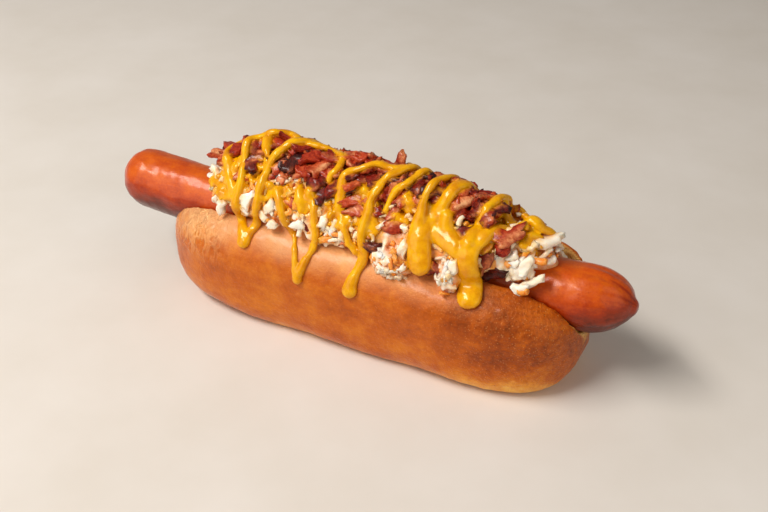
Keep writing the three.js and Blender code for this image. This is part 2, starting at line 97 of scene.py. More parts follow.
HEAP_MIDDLE = 10.5
HEAP_HALF_LENGTH = 74.5
HEAP_BASE = 44
HEAP_HALF_WIDTH = 18.5
HEAP_RISE = 18
HEAP_SINK = 9
HEAP_RIDGE = 6.5
HEAP_FOOT_SETBACK = 6
HEAP_UNDERCUT = 4

# Loose pieces are laid on the heap up to this share of its half length.
HEAP_LIMIT = 0.985

HEAP_DRAW_IN = 0.26
HEAP_DRAWN_FROM = 57
HEAP_DRAWN_TO = 64

# Lumps of slaw that hang over the near lip: their middles and half sizes.
SPILLS = [
    ((27, -19.5, 43.5), (9.5, 4.4, 5)),
    ((50.2, -19.6, 43.5), (4.2, 3.8, 5)),
]

BACON_MIDDLE = -1
BACON_HALF_LENGTH = 62
BACON_HALF_WIDTH = 10.5

# ---------------------------------------------------------------- helpers for shapes


def smoothstep(low, high, value):
    """0 below low, 1 above high and a smooth rise between them."""
    t = np.clip((value - low) / (high - low), 0, 1)
    return t * t * (3 - 2 * t)


def bell(value, middle, size):
    """1 at the middle, falling off smoothly on both sides."""
    return np.exp(-(((value - middle) / size) ** 2))


def end_taper(position, sharpness, roundness):
    """How far a rounded end has closed, from 1 along the body to 0 at its tip (position -1..1)."""
    return (1 - np.minimum(1, np.abs(position)) ** sharpness) ** (1 / roundness)


def signed_power(value, power):
    return np.sign(value) * np.abs(value) ** power


def noise_at(points, size, seed=0.0):
    """Smooth noise from -1 to 1 at each point, with lumps of about the given size."""
    offset = Vector((seed * 7.31, seed * 3.17, seed * 5.77))
    return np.array([noise.noise(Vector(p) / size + offset) for p in points])


def outward(verts, faces):
    """The same faces, turned round if they enclose their volume inside out."""
    volume = 0.0
    for face in faces:
        a = verts[face[0]]
        for b, c in zip(face[1:-1], face[2:]):
            volume += np.dot(a, np.cross(verts[b], verts[c]))
    return faces if volume > 0 else [face[::-1] for face in faces]


def ring_faces(first, rings, around):
    """The quads between rings of vertices that follow each other, from the index of the first."""
    faces = []
    for i in range(rings - 1):
        a, b = first + i * around, first + (i + 1) * around
        faces += [(a + k, a + (k + 1) % around, b + (k + 1) % around, b + k) for k in range(around)]
    return faces


def tube_faces(rings, around):
    """The same from index 0, with a face at each end."""
    last = (rings - 1) * around
    ends = [tuple(range(around - 1, -1, -1)), tuple(range(last, last + around))]
    return ends + ring_faces(0, rings, around)


def warped_sphere(around, rings, place):
    """A closed mesh with its poles along X. place(along, angle) takes arrays and gives X, Y and Z arrays.

    along runs from 1 to -1, and angle is measured from the top towards the far side.
    """
    along = np.cos(np.pi * np.arange(rings + 1) / rings)
    angle = 2 * np.pi * np.arange(around) / around
    inner = np.repeat(along[1:-1], around)
    turns = np.tile(angle, rings - 1)
    x, y, z = place(np.concatenate([[1.0], inner, [-1.0]]), np.concatenate([[0.0], turns, [0.0]]))
    verts = np.column_stack([x, y, z])
    last = len(verts) - 1
    faces = [(0, 1 + (k + 1) % around, 1 + k) for k in range(around)]
    faces += ring_faces(1, rings - 1, around)
    faces += [(last - around + k, last - around + (k + 1) % around, last) for k in range(around)]
    return verts, outward(verts, faces)


def merged(parts):
    """Several (verts, faces) in one."""
    verts, faces, start = [], [], 0
    for part_verts, part_faces in parts:
        verts.append(part_verts)
        faces += [tuple(i + start for i in face) for face in part_faces]
        start += len(part_verts)
    return np.concatenate(verts), faces


def unit(rows):
    """Each row as a vector of length 1."""
    return rows / np.linalg.norm(rows, axis=1)[:, None]


def search_tree(verts, faces):
    return BVHTree.FromPolygons(verts.tolist(), faces)


def mesh_object(name, verts, faces, material=None):
    """A smooth-shaded object from vertices in millimetres."""
    mesh = bpy.data.meshes.new(name)
    mesh.from_pydata((np.asarray(verts, float) * MM).tolist(), [], faces)
    mesh.polygons.foreach_set("use_smooth", [True] * len(mesh.polygons))
    obj = bpy.data.objects.new(name, mesh)
    bpy.context.scene.collection.objects.link(obj)
    if material:
        mesh.materials.append(material)
    return obj


def positions(obj):
    """An object's vertices in millimetres."""
    co = np.zeros(3 * len(obj.data.vertices))
    obj.data.vertices.foreach_get("co", co)
    return co.reshape(-1, 3) / MM


def normals(obj):
    """The direction that each vertex faces."""
    values = np.zeros(3 * len(obj.data.vertices))
    obj.data.vertex_normals.foreach_get("vector", values)
    return values.reshape(-1, 3)


def push_out(obj, verts, heights):
    """Moves an object's vertices out of its skin, each by its own height in millimetres."""
    moved = verts + normals(obj) * heights[:, None]
    obj.data.vertices.foreach_set("co", (moved * MM).ravel())
    obj.data.update()


def apply_modifiers(obj):
    """Replaces the object's mesh with what its modifiers make of it."""
    graph = bpy.context.evaluated_depsgraph_get()
    made = bpy.data.meshes.new_from_object(obj.evaluated_get(graph))
    obj.modifiers.clear()
    old = obj.data
    obj.data = made
    bpy.data.meshes.remove(old)
    obj.data.polygons.foreach_set("use_smooth", [True] * len(obj.data.polygons))


def remeshed(obj, voxel, smoothing):
    """Fuses all bodies of an object in one skin of small even faces, then softens its edges."""
    remesh = obj.modifiers.new("remesh", "REMESH")
    remesh.mode = "VOXEL"
    remesh.voxel_size = voxel * MM
    soft = obj.modifiers.new("soft", "SMOOTH")
    soft.factor = SMOOTHING_FACTOR
    soft.iterations = smoothing
    apply_modifiers(obj)
    return obj


def paint(obj, name, values):
    """Stores one number, or a row of three, for each vertex under a name that a material reads."""
    values = np.asarray(values, float)
    if values.ndim == 1:
        obj.data.attributes.new(name, "FLOAT", "POINT").data.foreach_set("value", values)
        return
    colours = np.column_stack([values, np.ones(len(values))])
    obj.data.attributes.new(name, "FLOAT_COLOR", "POINT").data.foreach_set("color", colours.ravel())


def dressed(obj, slot, *nodes):
    """Hangs a finished piece on the body, in place of the solids that it stands for."""
    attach(obj, "root")
    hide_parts(*nodes)
    return obj


# ---------------------------------------------------------------- helpers for materials


def linear(red, green, blue):
    """A colour given in 0..255 as the linear values that a shader takes."""
    values = [c / 255 for c in (red, green, blue)]
    return [c / 12.92 if c <= 0.04045 else ((c + 0.055) / 1.055) ** 2.4 for c in values] + [1.0]


# Nearly all values of a noise texture lie between these.
NOISE_LOW = 0.3
NOISE_HIGH = 0.7

# The sockets of a Mix node that mixes colours: its names are shared by the sockets for other kinds.
MIX_FACTOR = 0
MIX_A = 6
MIX_B = 7
MIX_RESULT = 2


class Shader:
    """A material's nodes, with short calls for the kinds that are used here."""

    def __init__(self, name, **settings):
        self.material = bpy.data.materials.new(name)
        self.material.use_nodes = True
        self.nodes = self.material.node_tree.nodes
        self.links = self.material.node_tree.links
        self.surface = self.nodes["Principled BSDF"]
        for socket, value in settings.items():
            self.surface.inputs[socket.replace("_", " ")].default_value = value
        self.place = self.nodes.new("ShaderNodeTexCoord").outputs["Object"]

    def node(self, kind, sockets, output, **settings):
        """An output of a new node, with its sockets linked to outputs or set to numbers and colours."""
        made = self.nodes.new("ShaderNode" + kind)
        for name, value in settings.items():
            setattr(made, name, value)
        for socket, value in sockets.items():
            if isinstance(value, bpy.types.NodeSocket):
                self.links.new(value, made.inputs[socket])
            else:
                made.inputs[socket].default_value = value
        return made.outputs[output]

    def stretched(self, x, y, z):
        """The place, scaled by axis, so that a pattern runs along one of them."""
        return self.node("Mapping", {"Vector": self.place, "Scale": (x, y, z)}, "Vector")

    def noise(self, size, detail=3.0, roughness=0.55, distortion=0.0, place=None):
        """Noise from 0 to 1 with lumps of a size in millimetres."""
        sockets = {"Vector": place or self.place, "Scale": 1 / (size * MM), "Detail": detail}
        return self.node("TexNoise", sockets | {"Roughness": roughness, "Distortion": distortion}, "Fac")

    def cells(self, size):
        """Distance to the nearest of many scattered points, with cells of a size in millimetres."""
        return self.node("TexVoronoi", {"Vector": self.place, "Scale": 1 / (size * MM)}, "Distance")

    def attribute(self, name, channel=None):
        """A painted number, or one channel of a painted colour."""
        if channel is None:
            return self.node("Attribute", {}, "Fac", attribute_name=name)
        colour = self.node("Attribute", {}, "Color", attribute_name=name)
        return self.node("SeparateColor", {"Color": colour}, channel)

    def math(self, operation, a, b=0.0, clamp=False):
        """One sum on one or two values, each an output or a number."""
        return self.node("Math", {0: a, 1: b}, "Value", operation=operation, use_clamp=clamp)

    def add(self, total, *others):
        for other in others:
            total = self.math("ADD", total, other)
        return total

    def times(self, product, *others):
        for other in others:
            product = self.math("MULTIPLY", product, other)
        return product

    def span(self, value, low, high, to_low=0.0, to_high=1.0):
        """The value's span from low to high, mapped to another and held there."""
        sockets = {"Value": value, "From Min": low, "From Max": high, "To Min": to_low, "To Max": to_high}
        return self.node("MapRange", sockets, "Result")

    def swing(self, pattern, low, high):
        """A noise, spread out to run from low to high."""
        return self.span(pattern, NOISE_LOW, NOISE_HIGH, low, high)

    def ramp(self, value, *stops):
        """A colour for each value: the stops are (position, colour in 0..255)."""
        colour = self.node("ValToRGB", {"Fac": value}, "Color")
        elements = colour.node.color_ramp.elements
        while len(elements) < len(stops):
            elements.new(0.5)
        for element, (position, rgb) in zip(elements, stops):
            element.position = position
            element.color = linear(*rgb)
        return colour

    def mix(self, share, a, b):
        """Colour a turned into colour b by a share."""
        return self.node("Mix", {MIX_FACTOR: share, MIX_A: a, MIX_B: b}, MIX_RESULT, data_type="RGBA")

    def bump(self, height, depth):
        """A normal from a height of 0 to 1 that stands for a depth in millimetres."""
        return self.node("Bump", {"Height": height, "Distance": depth * MM}, "Normal")

    def finish(self, colour, roughness=None, normal=None):
        """Links what has been made to the surface, and gives the material."""
        for socket, output in (("Base Color", colour), ("Roughness", roughness), ("Normal", normal)):
            if output:
                self.links.new(output, self.surface.inputs[socket])
        return self.material


# ---------------------------------------------------------------- materials


def crust_material():
    """Brioche crust: the painted bake runs from pale to dark brown, with fine pores, a wrinkled patch,
    painted sheen along the lip and painted highlights on the wrinkles.
    """
    shader = Shader(
        "bun_crust",
        Specular_IOR_Level=0.45,
        Specular_Tint=linear(255, 206, 150),
        Coat_Weight=0.2,
        Coat_Roughness=0.2,
    )
    rough_skin = shader.attribute("skin")
    streaks = shader.swing(shader.noise(2.0, 4, 0.6, 0.4, shader.stretched(0.3, 1, 1)), -0.05, 0.05)
    blotches = shader.swing(shader.noise(11, 3, 0.5), -0.11, 0.11)
    spots = shader.span(shader.noise(1.8, 5, 0.6), 0.32, 0.68, -0.08, 0.08)
    spots = shader.times(spots, shader.add(rough_skin, 0.45))
    crust = shader.ramp(
        shader.add(shader.attribute("bake"), streaks, blotches, spots),
        (0.0, (250, 188, 82)),
        (0.2, (236, 154, 50)),
        (0.4, (210, 114, 18)),
        (0.6, (188, 86, 4)),
        (0.8, (152, 60, 0)),
        (1.0, (104, 38, 2)),
    )
    # Painted sheen: along the tops of the walls the crust is mixed towards a pale pinkish tan where the
    # overhead light reflects, broken into patches.
    sheen_patches = shader.swing(shader.noise(5, 3), 0.75, 1.1)
    warm_share = shader.math("MULTIPLY", shader.attribute("lip"), sheen_patches, clamp=True)
    crust = shader.mix(warm_share, crust, linear(222, 164, 112))
    pores = shader.span(shader.cells(1.1), 0.05, 0.28)
    pale_pores = shader.times(shader.math("SUBTRACT", 1.0, pores), shader.add(rough_skin, 0.3), 0.5)
    crust = shader.mix(pale_pores, crust, linear(232, 150, 80))
    wrinkled = shader.attribute("wrinkled")
    waves = shader.noise(3.4, 2, 0.5, 0.4, shader.stretched(1, 0.5, 0.5))
    from_crest = shader.math("ABSOLUTE", shader.math("SUBTRACT", waves, 0.5))
    crinkles = shader.times(shader.span(from_crest, 0.0, 0.1, 1.0, 0.0), wrinkled)
    # Painted highlights: the crests of the wrinkles are mixed towards a pale colour, standing for glints of
    # the light on them.
    crust = shader.mix(shader.times(crinkles, 0.55), crust, linear(252, 190, 124))
    crumb_colour = shader.ramp(shader.noise(2.2, 4, 0.6), (0.3, (206, 140, 62)), (0.7, (236, 188, 108)))
    crumb = shader.attribute("crumb")
    colour = shader.mix(crumb, crust, crumb_colour)
    fine_height = shader.times(shader.noise(1.1, 4, 0.6), shader.add(rough_skin, 0.5))
    pore_height = shader.times(pores, rough_skin, 0.5)
    crumb_height = shader.times(shader.noise(1.6, 4, 0.7), crumb, 2.0)
    normal = shader.bump(shader.add(fine_height, pore_height, crinkles, crumb_height), 0.45)
    gloss = shader.swing(shader.noise(4, 3), 0.28, 0.42)
    roughness = shader.add(gloss, shader.times(crumb, 0.35), shader.times(wrinkled, -0.2))
    return shader.finish(colour, roughness, normal)


def casing_material():
    """Taut moist casing with a soft mottle, and painted shade that makes it browner on its underside and in
    the folds at its right tip.
    """
    shader = Shader(
        "sausage_skin",
        Specular_IOR_Level=0.4,
        Specular_Tint=linear(255, 200, 160),
        Coat_Weight=0.35,
        Coat_Roughness=0.2,
    )
    lines = shader.noise(1.6, 3, 0.55, 0.2, shader.stretched(0.22, 1, 1))
    grain = shader.noise(1.0, 4, 0.65)
    # The painted number adds painted shade on the underside and in the folds at the right tip, and a random
    # mottle.
    tone = shader.add(
        shader.swing(lines, 0.0, 0.12),
        shader.swing(grain, 0.0, 0.16),
        shader.swing(shader.noise(6, 3, 0.55), 0.0, 0.24),
        shader.attribute("shade_and_mottle"),
    )
    colour = shader.ramp(
        tone,
        (0.0, (216, 98, 8)),
        (0.3, (194, 72, 4)),
        (0.6, (158, 42, 0)),
        (1.0, (90, 16, 0)),
    )
    specks = shader.span(shader.cells(2.6), 0.02, 0.14, 0.3, 0.0)
    colour = shader.mix(specks, colour, linear(96, 22, 4))
    normal = shader.bump(shader.add(shader.times(lines, 0.3), grain), 0.16)
    return shader.finish(colour, shader.swing(shader.noise(3, 3), 0.3, 0.44), normal)


def slaw_material():
    """Wet slaw: the tint holds the cabbage's tone and whether it is carrot, the stain is mustard, and the
    hollows are a darker warm orange: partly carrot juice and dressing gathered there, partly painted shade."""
    shader = Shader(
        "slaw",
        Specular_Tint=linear(255, 232, 206),
        Coat_Weight=0.3,
        Coat_Roughness=0.12,
        Subsurface_Weight=0.7,
        Subsurface_Radius=(1.0, 0.88, 0.72),
        Subsurface_Scale=0.0014,
    )
    fibres = shader.noise(0.9, 3, 0.6)
    cabbage = shader.ramp(
        shader.add(shader.attribute("tint", "Red"), shader.swing(shader.noise(4, 3, 0.6), -0.15, 0.15)),
        (0.0, (255, 238, 220)),
        (0.4, (254, 228, 198)),
        (0.75, (246, 202, 152)),
        (1.0, (232, 166, 106)),
    )
    carrot = shader.ramp(fibres, (0.3, (238, 128, 30)), (0.7, (250, 170, 74)))
    colour = shader.mix(shader.attribute("tint", "Green"), cabbage, carrot)
    warm_share = shader.span(shader.noise(3.2, 3, 0.6), 0.54, 0.7, 0.0, 0.5)
    colour = shader.mix(warm_share, colour, linear(248, 184, 112))
    # Darker warm orange in the hollows: partly dressing and carrot juice, partly painted shade where the slaw
    # lies deep.
    gathered = shader.span(shader.noise(2.6, 3, 0.6), 0.35, 0.65, 0.45, 0.9)
    dressing = shader.times(shader.attribute("hollow"), gathered)
    colour = shader.mix(dressing, colour, linear(236, 142, 54))
    colour = shader.mix(shader.attribute("stain"), colour, linear(244, 172, 14))
    return shader.finish(colour, shader.swing(fibres, 0.22, 0.42), shader.bump(fibres, 0.2))


def bacon_material():
    """Fried bacon: the tint holds fat, char (on the packed crumbs also painted shade between them) and a tone
    for each piece, and the stain is mustard.
    """
    shader = Shader(
        "bacon",
        Specular_IOR_Level=0.3,
        Specular_Tint=linear(255, 190, 160),
        Coat_Weight=0.3,
        Coat_Roughness=0.16,
    )
    fat, char, own = (shader.attribute("tint", channel) for channel in ("Red", "Green", "Blue"))
    grain = shader.noise(1.2, 4, 0.65)
    level = shader.add(char, shader.swing(grain, -0.2, 0.2), shader.span(own, 0.0, 1.0, -0.08, 0.08))
    meat = shader.ramp(
        level,
        (0.0, (208, 98, 50)),
        (0.25, (182, 58, 22)),
        (0.5, (142, 24, 8)),
        (0.75, (88, 12, 10)),
        (1.0, (40, 10, 14)),
    )
    fat_colour = shader.ramp(level, (0.0, (238, 172, 118)), (0.5, (216, 122, 70)), (1.0, (134, 60, 36)))
    streaks = shader.span(shader.noise(1.8, 3, 0.6), 0.35, 0.65)
    fat_share = shader.math("MULTIPLY", fat, shader.add(streaks, 0.3), clamp=True)
    colour = shader.mix(fat_share, meat, fat_colour)
    colour = shader.mix(shader.attribute("stain"), colour, linear(236, 158, 6))
    normal = shader.bump(shader.add(grain, shader.noise(0.6, 3)), 0.28)
    return shader.finish(colour, shader.swing(grain, 0.26, 0.5), normal)


def mustard_material():
    """Wet yellow mustard with a very fine grain."""
    shader = Shader(
        "mustard",
        Specular_IOR_Level=0.32,
        Specular_Tint=linear(255, 222, 130),
        Coat_Weight=0.4,
        Coat_Roughness=0.07,
    )
    colour = shader.ramp(shader.noise(5, 4, 0.6), (0.32, (212, 132, 0)), (0.68, (242, 178, 4)))
    normal = shader.bump(shader.noise(0.8, 3, 0.6), 0.06)
    return shader.finish(colour, shader.swing(shader.noise(1.4, 2), 0.22, 0.36), normal)


def floor_material():
    """A plain pale board."""
    shader = Shader("floor", Roughness=0.75)
    return shader.finish(shader.ramp(shader.noise(60, 4), (0.3, (220, 210, 198)), (0.7, (227, 218, 208))))


# ---------------------------------------------------------------- sausage


def frank_centre(x):
    """Y and Z of the frank's middle line."""
    bend = (2 * x / FRANK_LENGTH) ** 2
    return FRANK_BOW * bend, FRANK_AXIS + FRANK_END_LIFT * bend


def frank_radius(x):
    from_left = (x + FRANK_LENGTH / 2) / FRANK_LEFT_CAP
    from_right = (FRANK_LENGTH / 2 - x) / FRANK_RIGHT_CAP
    closing = 1 - np.clip(np.minimum(from_left, from_right), 0, 1)
    return FRANK_RADIUS * np.sqrt(1 - closing**FRANK_CAP_POWER)


def tip_folds(angle):
    """The gathers round the sausage's tips, from -0.85 in their valleys to 0.85."""
    return 0.5 * np.cos(11 * angle + 1.5 * np.sin(3 * angle)) + 0.35 * np.cos(17 * angle + 1.1)


CASING_AROUND = 128
CASING_RINGS = 220

# How far the gathers reach in from each tip, and how deep they are.
RIGHT_PUCKER_LENGTH = 24
RIGHT_PUCKER_DEPTH = 1.43
LEFT_PUCKER_LENGTH = 12
LEFT_PUCKER_DEPTH = 0.5
KNOT_LENGTH = 1.1

# Swellings of the casing near its blunt end: x, degrees from the top, half size in mm and height.
BLISTERS = [(-101, -30, 2.6, 0.3), (-97, -49, 4, 0.35), (-82, -80, 4, 0.5), (-90, -58, 5, 0.25)]


def sausage():
    """The casing, puckered at its tips, with shallow dents, swellings and a small knot at the right end."""
    half = FRANK_LENGTH / 2

    def place(along, angle):
        x = half * along
        radius = frank_radius(x)
        centre_y, centre_z = frank_centre(x)
        right = smoothstep(half - RIGHT_PUCKER_LENGTH, half - 1, x)
        left = smoothstep(half - LEFT_PUCKER_LENGTH, half - 1, -x)
        pucker = RIGHT_PUCKER_DEPTH * right * (1 - right) + LEFT_PUCKER_DEPTH * left * (1 - left)
        pucker = pucker * tip_folds(angle)
        radius = np.where(np.abs(along) < 1, np.maximum(radius + pucker * radius / FRANK_RADIUS, 0.02), 0)
        knot = KNOT_LENGTH * bell(x, half, 0.5)
        return x + knot, centre_y + radius * np.sin(angle), centre_z + radius * np.cos(angle)

    verts, faces = warped_sphere(CASING_AROUND, CASING_RINGS, place)
    obj = mesh_object("sausage_casing", verts, faces, casing_material())
    x = verts[:, 0]
    centre_y, centre_z = frank_centre(x)
    angle = np.arctan2(verts[:, 1] - centre_y, verts[:, 2] - centre_z)
    stretched = verts * np.array([0.25, 1, 1])
    dents = 0.28 * noise_at(stretched, 5, 1) + 0.17 * noise_at(verts, 3, 2)
    for middle, degrees, size, height in BLISTERS:
        around = FRANK_RADIUS * (angle - math.radians(degrees))
        dents = dents + height * np.exp(-((x - middle) ** 2 + (1.6 * around) ** 2) / size**2)
    push_out(obj, verts, dents)
    # Painted shade: darker towards the underside, which faces away from the light.
    low = smoothstep(10, -7, verts[:, 2] - centre_z)
    # Painted shade: darker in the valleys of the gathers near the right tip.
    tip = smoothstep(half - 12, half - 4, x) * smoothstep(0.1, 0.8, -tip_folds(angle))
    paint(obj, "shade_and_mottle", low * 0.82 + 0.2 * noise_at(verts, 14, 3) + 0.3 * tip - 0.06)
    return dressed(obj, "sausage_skin", "sausage")


# ---------------------------------------------------------------- bun

LOAF_AROUND = 180
LOAF_RINGS = 150
BUN_VOXEL = 0.75
COMMON_BAKE = 0.59

# The middle and half size, along X, of the patch of the near crust that has blistered and wrinkled.
BLISTERED_AT = -63
BLISTERED_SIZE = 15


def bun_section(x):
    """Half width, rise of the near and far wall, depth and fullness (0..1) of the bun's section."""
    position = (x - BUN_MIDDLE) / BUN_HALF_LENGTH
    right = position > 0
    width = BUN_HALF_WIDTH * np.where(right, end_taper(position, 6, 2.2), end_taper(position, 5, 2.2))
    near = BUN_NEAR_RISE * np.where(right, end_taper(position, 4.5, 2.4), end_taper(position, 3.6, 2.8))
    far = BUN_FAR_RISE * np.where(right, end_taper(position, 8, 2.8), end_taper(position, 3.2, 2.4))
    depth = BUN_DEPTH * np.where(right, end_taper(position, 10, 2.8), end_taper(position, 6, 2.0))
    return width, near, far, depth, end_taper(position, 4, 2.4)


def crust_wave(x, angle):
    """The slow wave of the crust along and around the bun."""
    return 0.35 * np.sin(0.061 * x + 1.3) * np.cos(2 * angle) + 0.3 * np.sin(0.13 * x + 3 * angle)


def loaf_point(along, angle):
    """The uncut bun: a squared-off oval that rests on a flat."""
    x = BUN_MIDDLE + BUN_HALF_LENGTH * along
    width, near, far, depth, fullness = bun_section(x)
    up = np.cos(angle) > 0
    wall = np.where(np.sin(angle) < 0, near, far)
    crown = near + (wall - near) * np.minimum(1, np.abs(np.sin(angle)) * 3)
    height = np.where(up, crown, depth)
    power = 2 / np.where(up, BUN_UPPER_POWER, BUN_LOWER_POWER)
    wave = crust_wave(x, angle) * fullness
    y = (width + wave) * signed_power(np.sin(angle), power)
    z = BUN_WAIST + (height + wave) * signed_power(np.cos(angle), power)
    return x, y, np.maximum(z, 0)


def slot_cutter():
    """What the knife took out: a round bed for the frank that opens upwards, right through the bun."""
    rise = SLOT_TOP - FRANK_AXIS
    opening = SLOT_RADIUS + SLOT_FLARE * rise
    bed = [math.pi + math.pi * k / BED_STEPS for k in range(BED_STEPS + 1)]
    outline = [(opening, rise), (-opening, rise)]
    outline += [(SLOT_RADIUS * math.cos(a), SLOT_RADIUS * math.sin(a)) for a in bed]
    verts = []
    for x in np.linspace(-FRANK_LENGTH / 2, FRANK_LENGTH / 2, BED_SECTIONS):
        centre_y, centre_z = frank_centre(x)
        verts += [(x, centre_y + y, centre_z + z) for y, z in outline]
    verts = np.array(verts)
    return verts, outward(verts, tube_faces(BED_SECTIONS, len(outline)))


def loaf_depth(points):
    """How deep points lie in the uncut bun, from 0 in its middle to 1 on its crust."""
    x, y, z = points.T
    width, near, far, depth, _ = bun_section(x)
    up = z > BUN_WAIST
    reach = np.where(up, np.where(y < 0, near, far), depth)
    power = np.where(up, BUN_UPPER_POWER, BUN_LOWER_POWER)
    across = np.abs(y) / np.maximum(width, 0.1)
    upward = np.abs(z - BUN_WAIST) / np.maximum(reach, 0.1)
    return (across**power + upward**power) ** (1 / power)


def cut_loaf():
    """The loaf with its slot cut, in small even faces and with the cut's edges softened."""
    loaf = mesh_object("bun_crust", *warped_sphere(LOAF_AROUND, LOAF_RINGS, loaf_point))
    cutter = mesh_object("slot_cutter", *slot_cutter())
    cut = loaf.modifiers.new("slot", "BOOLEAN")
    cut.operation = "DIFFERENCE"
    cut.solver = "EXACT"
    cut.object = cutter
    apply_modifiers(loaf)
    bpy.data.objects.remove(cutter)
    remeshed(loaf, BUN_VOXEL, smoothing=3)
    loaf.data.materials.clear()
    loaf.data.materials.append(crust_material())
    return loaf


def crust_bake(verts, position, height):
    """How brown the crust is painted, from 0, pale, to 1: by its place along the bun (-1..1) and up it
    (0..1). It also holds painted light: sheen near the top and shade at the right end.
    """
    rim = 0.14 * smoothstep(0.4, 0.65, position) - 0.04
    # Paler towards the top: partly the crust's own colour, partly painted sheen from the overhead light.
    pale_top_and_sheen = 0.2 * smoothstep(0.6, 0.98, height)
    pale_base = 0.5 * smoothstep(0.2, -0.02, height - rim + 0.05 * noise_at(verts, 7, 9))
    light_band = 0.1 * bell(height, 0.28, 0.12)
    # Darker at the right end: partly a deeper bake, partly painted shade where the end faces away from the
    # light.
    dark_end_and_shade = 0.11 * smoothstep(0.3, 0.8, position) * smoothstep(0.15, 0.4, height)
    dark_patch = 0.14 * bell(position, 0.6, 0.2) * smoothstep(0.25, 0.6, height)
    dark_shoulder = 0.12 * smoothstep(0.0, 0.4, position) * smoothstep(0.6, 0.9, height)
    streaks = 0.1 * noise_at(verts * np.array([0.3, 1, 1]), 9, 10)
    mottle = 0.06 * noise_at(verts, 4, 11)
    paler = pale_top_and_sheen + pale_base + light_band
    return COMMON_BAKE - paler + dark_end_and_shade + dark_patch + dark_shoulder + streaks + mottle


def bun():
    """The cut brioche bun, with the crust's blisters and wrinkles as relief, its bake painted on, and painted
    light: sheen along the lip, partly shade at the right end and highlights on the wrinkles.
    """
    loaf = cut_loaf()
    verts = positions(loaf)
    x, y, z = verts.T
    position = (x - BUN_MIDDLE) / BUN_HALF_LENGTH
    crumb = smoothstep(0.985, 0.955, loaf_depth(verts)) * smoothstep(16, 24, z)
    blistered = bell(x, BLISTERED_AT, BLISTERED_SIZE) * smoothstep(20, 36, z) * (y < 0)
    rough_end = smoothstep(0.35, 0.95, position) + 0.6 * smoothstep(0.75, 1.0, -position)
    relief = 0.4 * noise_at(verts, 24, 4) + 0.18 * noise_at(verts, 7, 5) + 0.08 * noise_at(verts, 2.4, 6)
    wrinkles = np.abs(noise_at(verts * np.array([1, 1, 1.5]), 4.4, 7))
    relief = relief + (0.3 * blistered + 0.08 + 0.3 * rough_end) * wrinkles
    relief = relief * (1 - 0.7 * crumb) * smoothstep(0.0, 3.0, z)
    push_out(loaf, verts, relief + crumb * 0.5 * noise_at(verts, 3, 8))

    rise = np.where(y < 0, *(bun_section(x)[1:3]))
    height = z / (BUN_WAIST + rise)
    # On the blistered patch the bake is paler on the raised wrinkles: painted highlights on their crests.
    bake = crust_bake(verts, position, height) + blistered * (0.05 - 0.2 * wrinkles)
    # Painted sheen: the tops of the walls, fading out towards the right end, are marked for the pale pinkish
    # mix where the overhead light reflects.
    lip = smoothstep(0.7, 0.97, height + 0.04 * noise_at(verts, 8, 15)) * smoothstep(0.75, 0.1, position)
    paint(loaf, "bake", np.clip(bake, 0, 1))
    paint(loaf, "crumb", crumb)
    paint(loaf, "lip", 0.85 * lip * smoothstep(-1.0, -0.85, position))
    paint(loaf, "skin", np.clip(0.2 + 0.8 * rough_end + 0.1 * blistered, 0, 1))
    paint(loaf, "wrinkled", blistered)
    return dressed(loaf, "bun_crust", "bun")


def bun_wall(x, height, side):
    """A point on the bun's outer wall and the direction that faces out of it."""
    width, near, far, depth, _ = (float(v) for v in bun_section(np.array(float(x))))
    up = height > BUN_WAIST
    reach = (near if side == NEAR else far) if up else depth
    power = BUN_UPPER_POWER if up else BUN_LOWER_POWER
    edge = (1 - min(1, SLOT_EDGE / width) ** power) ** (1 / power)
    share = min(abs(height - BUN_WAIST) / reach, edge)
    y = width * (1 - share**power) ** (1 / power)
    sign = 1 if up else -1
    point = Vector((x, side * y, BUN_WAIST + sign * share * reach))
    outward_y = side * (y / width) ** (power - 1) / width
    outward_z = sign * share ** (power - 1) / reach
    return point, Vector((0, outward_y, outward_z)).normalized()


# ---------------------------------------------------------------- heap

MOUND_AROUND = 120
MOUND_RINGS = 130
SPILL_AROUND = 30
SPILL_RINGS = 30
STRIP_SIDES = 8
GOLDEN = 0.6180339887


def heap_taper(x):
    """The heap's half width and height at x, as shares of those in its middle."""
    position = (x - HEAP_MIDDLE) / HEAP_HALF_LENGTH
    width = end_taper(position, 6, 2.4)
    height = np.where(position > 0, end_taper(position, 3.2, 2), end_taper(position, 4.5, 2))
    return width, height


def drawn_width(x, sine):
    """What is left of the heap's half width where its near side is drawn in, and 1 elsewhere."""
    return np.where(sine < 0, 1 - HEAP_DRAW_IN * smoothstep(HEAP_DRAWN_FROM, HEAP_DRAWN_TO, x), 1.0)


def heap_place(x, degrees, lift=0.0):
    """A point on the heap and the direction that faces out of it."""
    angle = math.radians(degrees)
    limit = HEAP_LIMIT * HEAP_HALF_LENGTH
    taper = heap_taper(np.array(min(max(x, HEAP_MIDDLE - limit), HEAP_MIDDLE + limit)))
    width, height = (float(v) for v in taper)
    wide = HEAP_HALF_WIDTH * width * float(drawn_width(x, math.sin(angle)))
    ridge = HEAP_RIDGE * max(0, math.cos(2 * angle))
    high = (HEAP_RISE + ridge) * height if math.cos(angle) > 0 else HEAP_SINK * width
    normal = Vector((0, math.sin(angle) / wide, math.cos(angle) / high)).normalized()
    point = Vector((x, wide * math.sin(angle), HEAP_BASE + high * math.cos(angle)))
    return point + normal * lift, normal


def spill_place(spill, along, degrees, lift=0.0):
    """A point on slaw that hangs over the near lip and the direction that faces out of it."""
    angle = math.radians(degrees)
    close = math.sqrt(1 - along * along)
    local = (along, close * math.sin(angle), close * math.cos(angle))
    point = Vector([middle + half * k for middle, half, k in zip(*spill, local)])
    normal = Vector([k / half for half, k in zip(spill[1], local)]).normalized()
    return point + normal * lift, normal


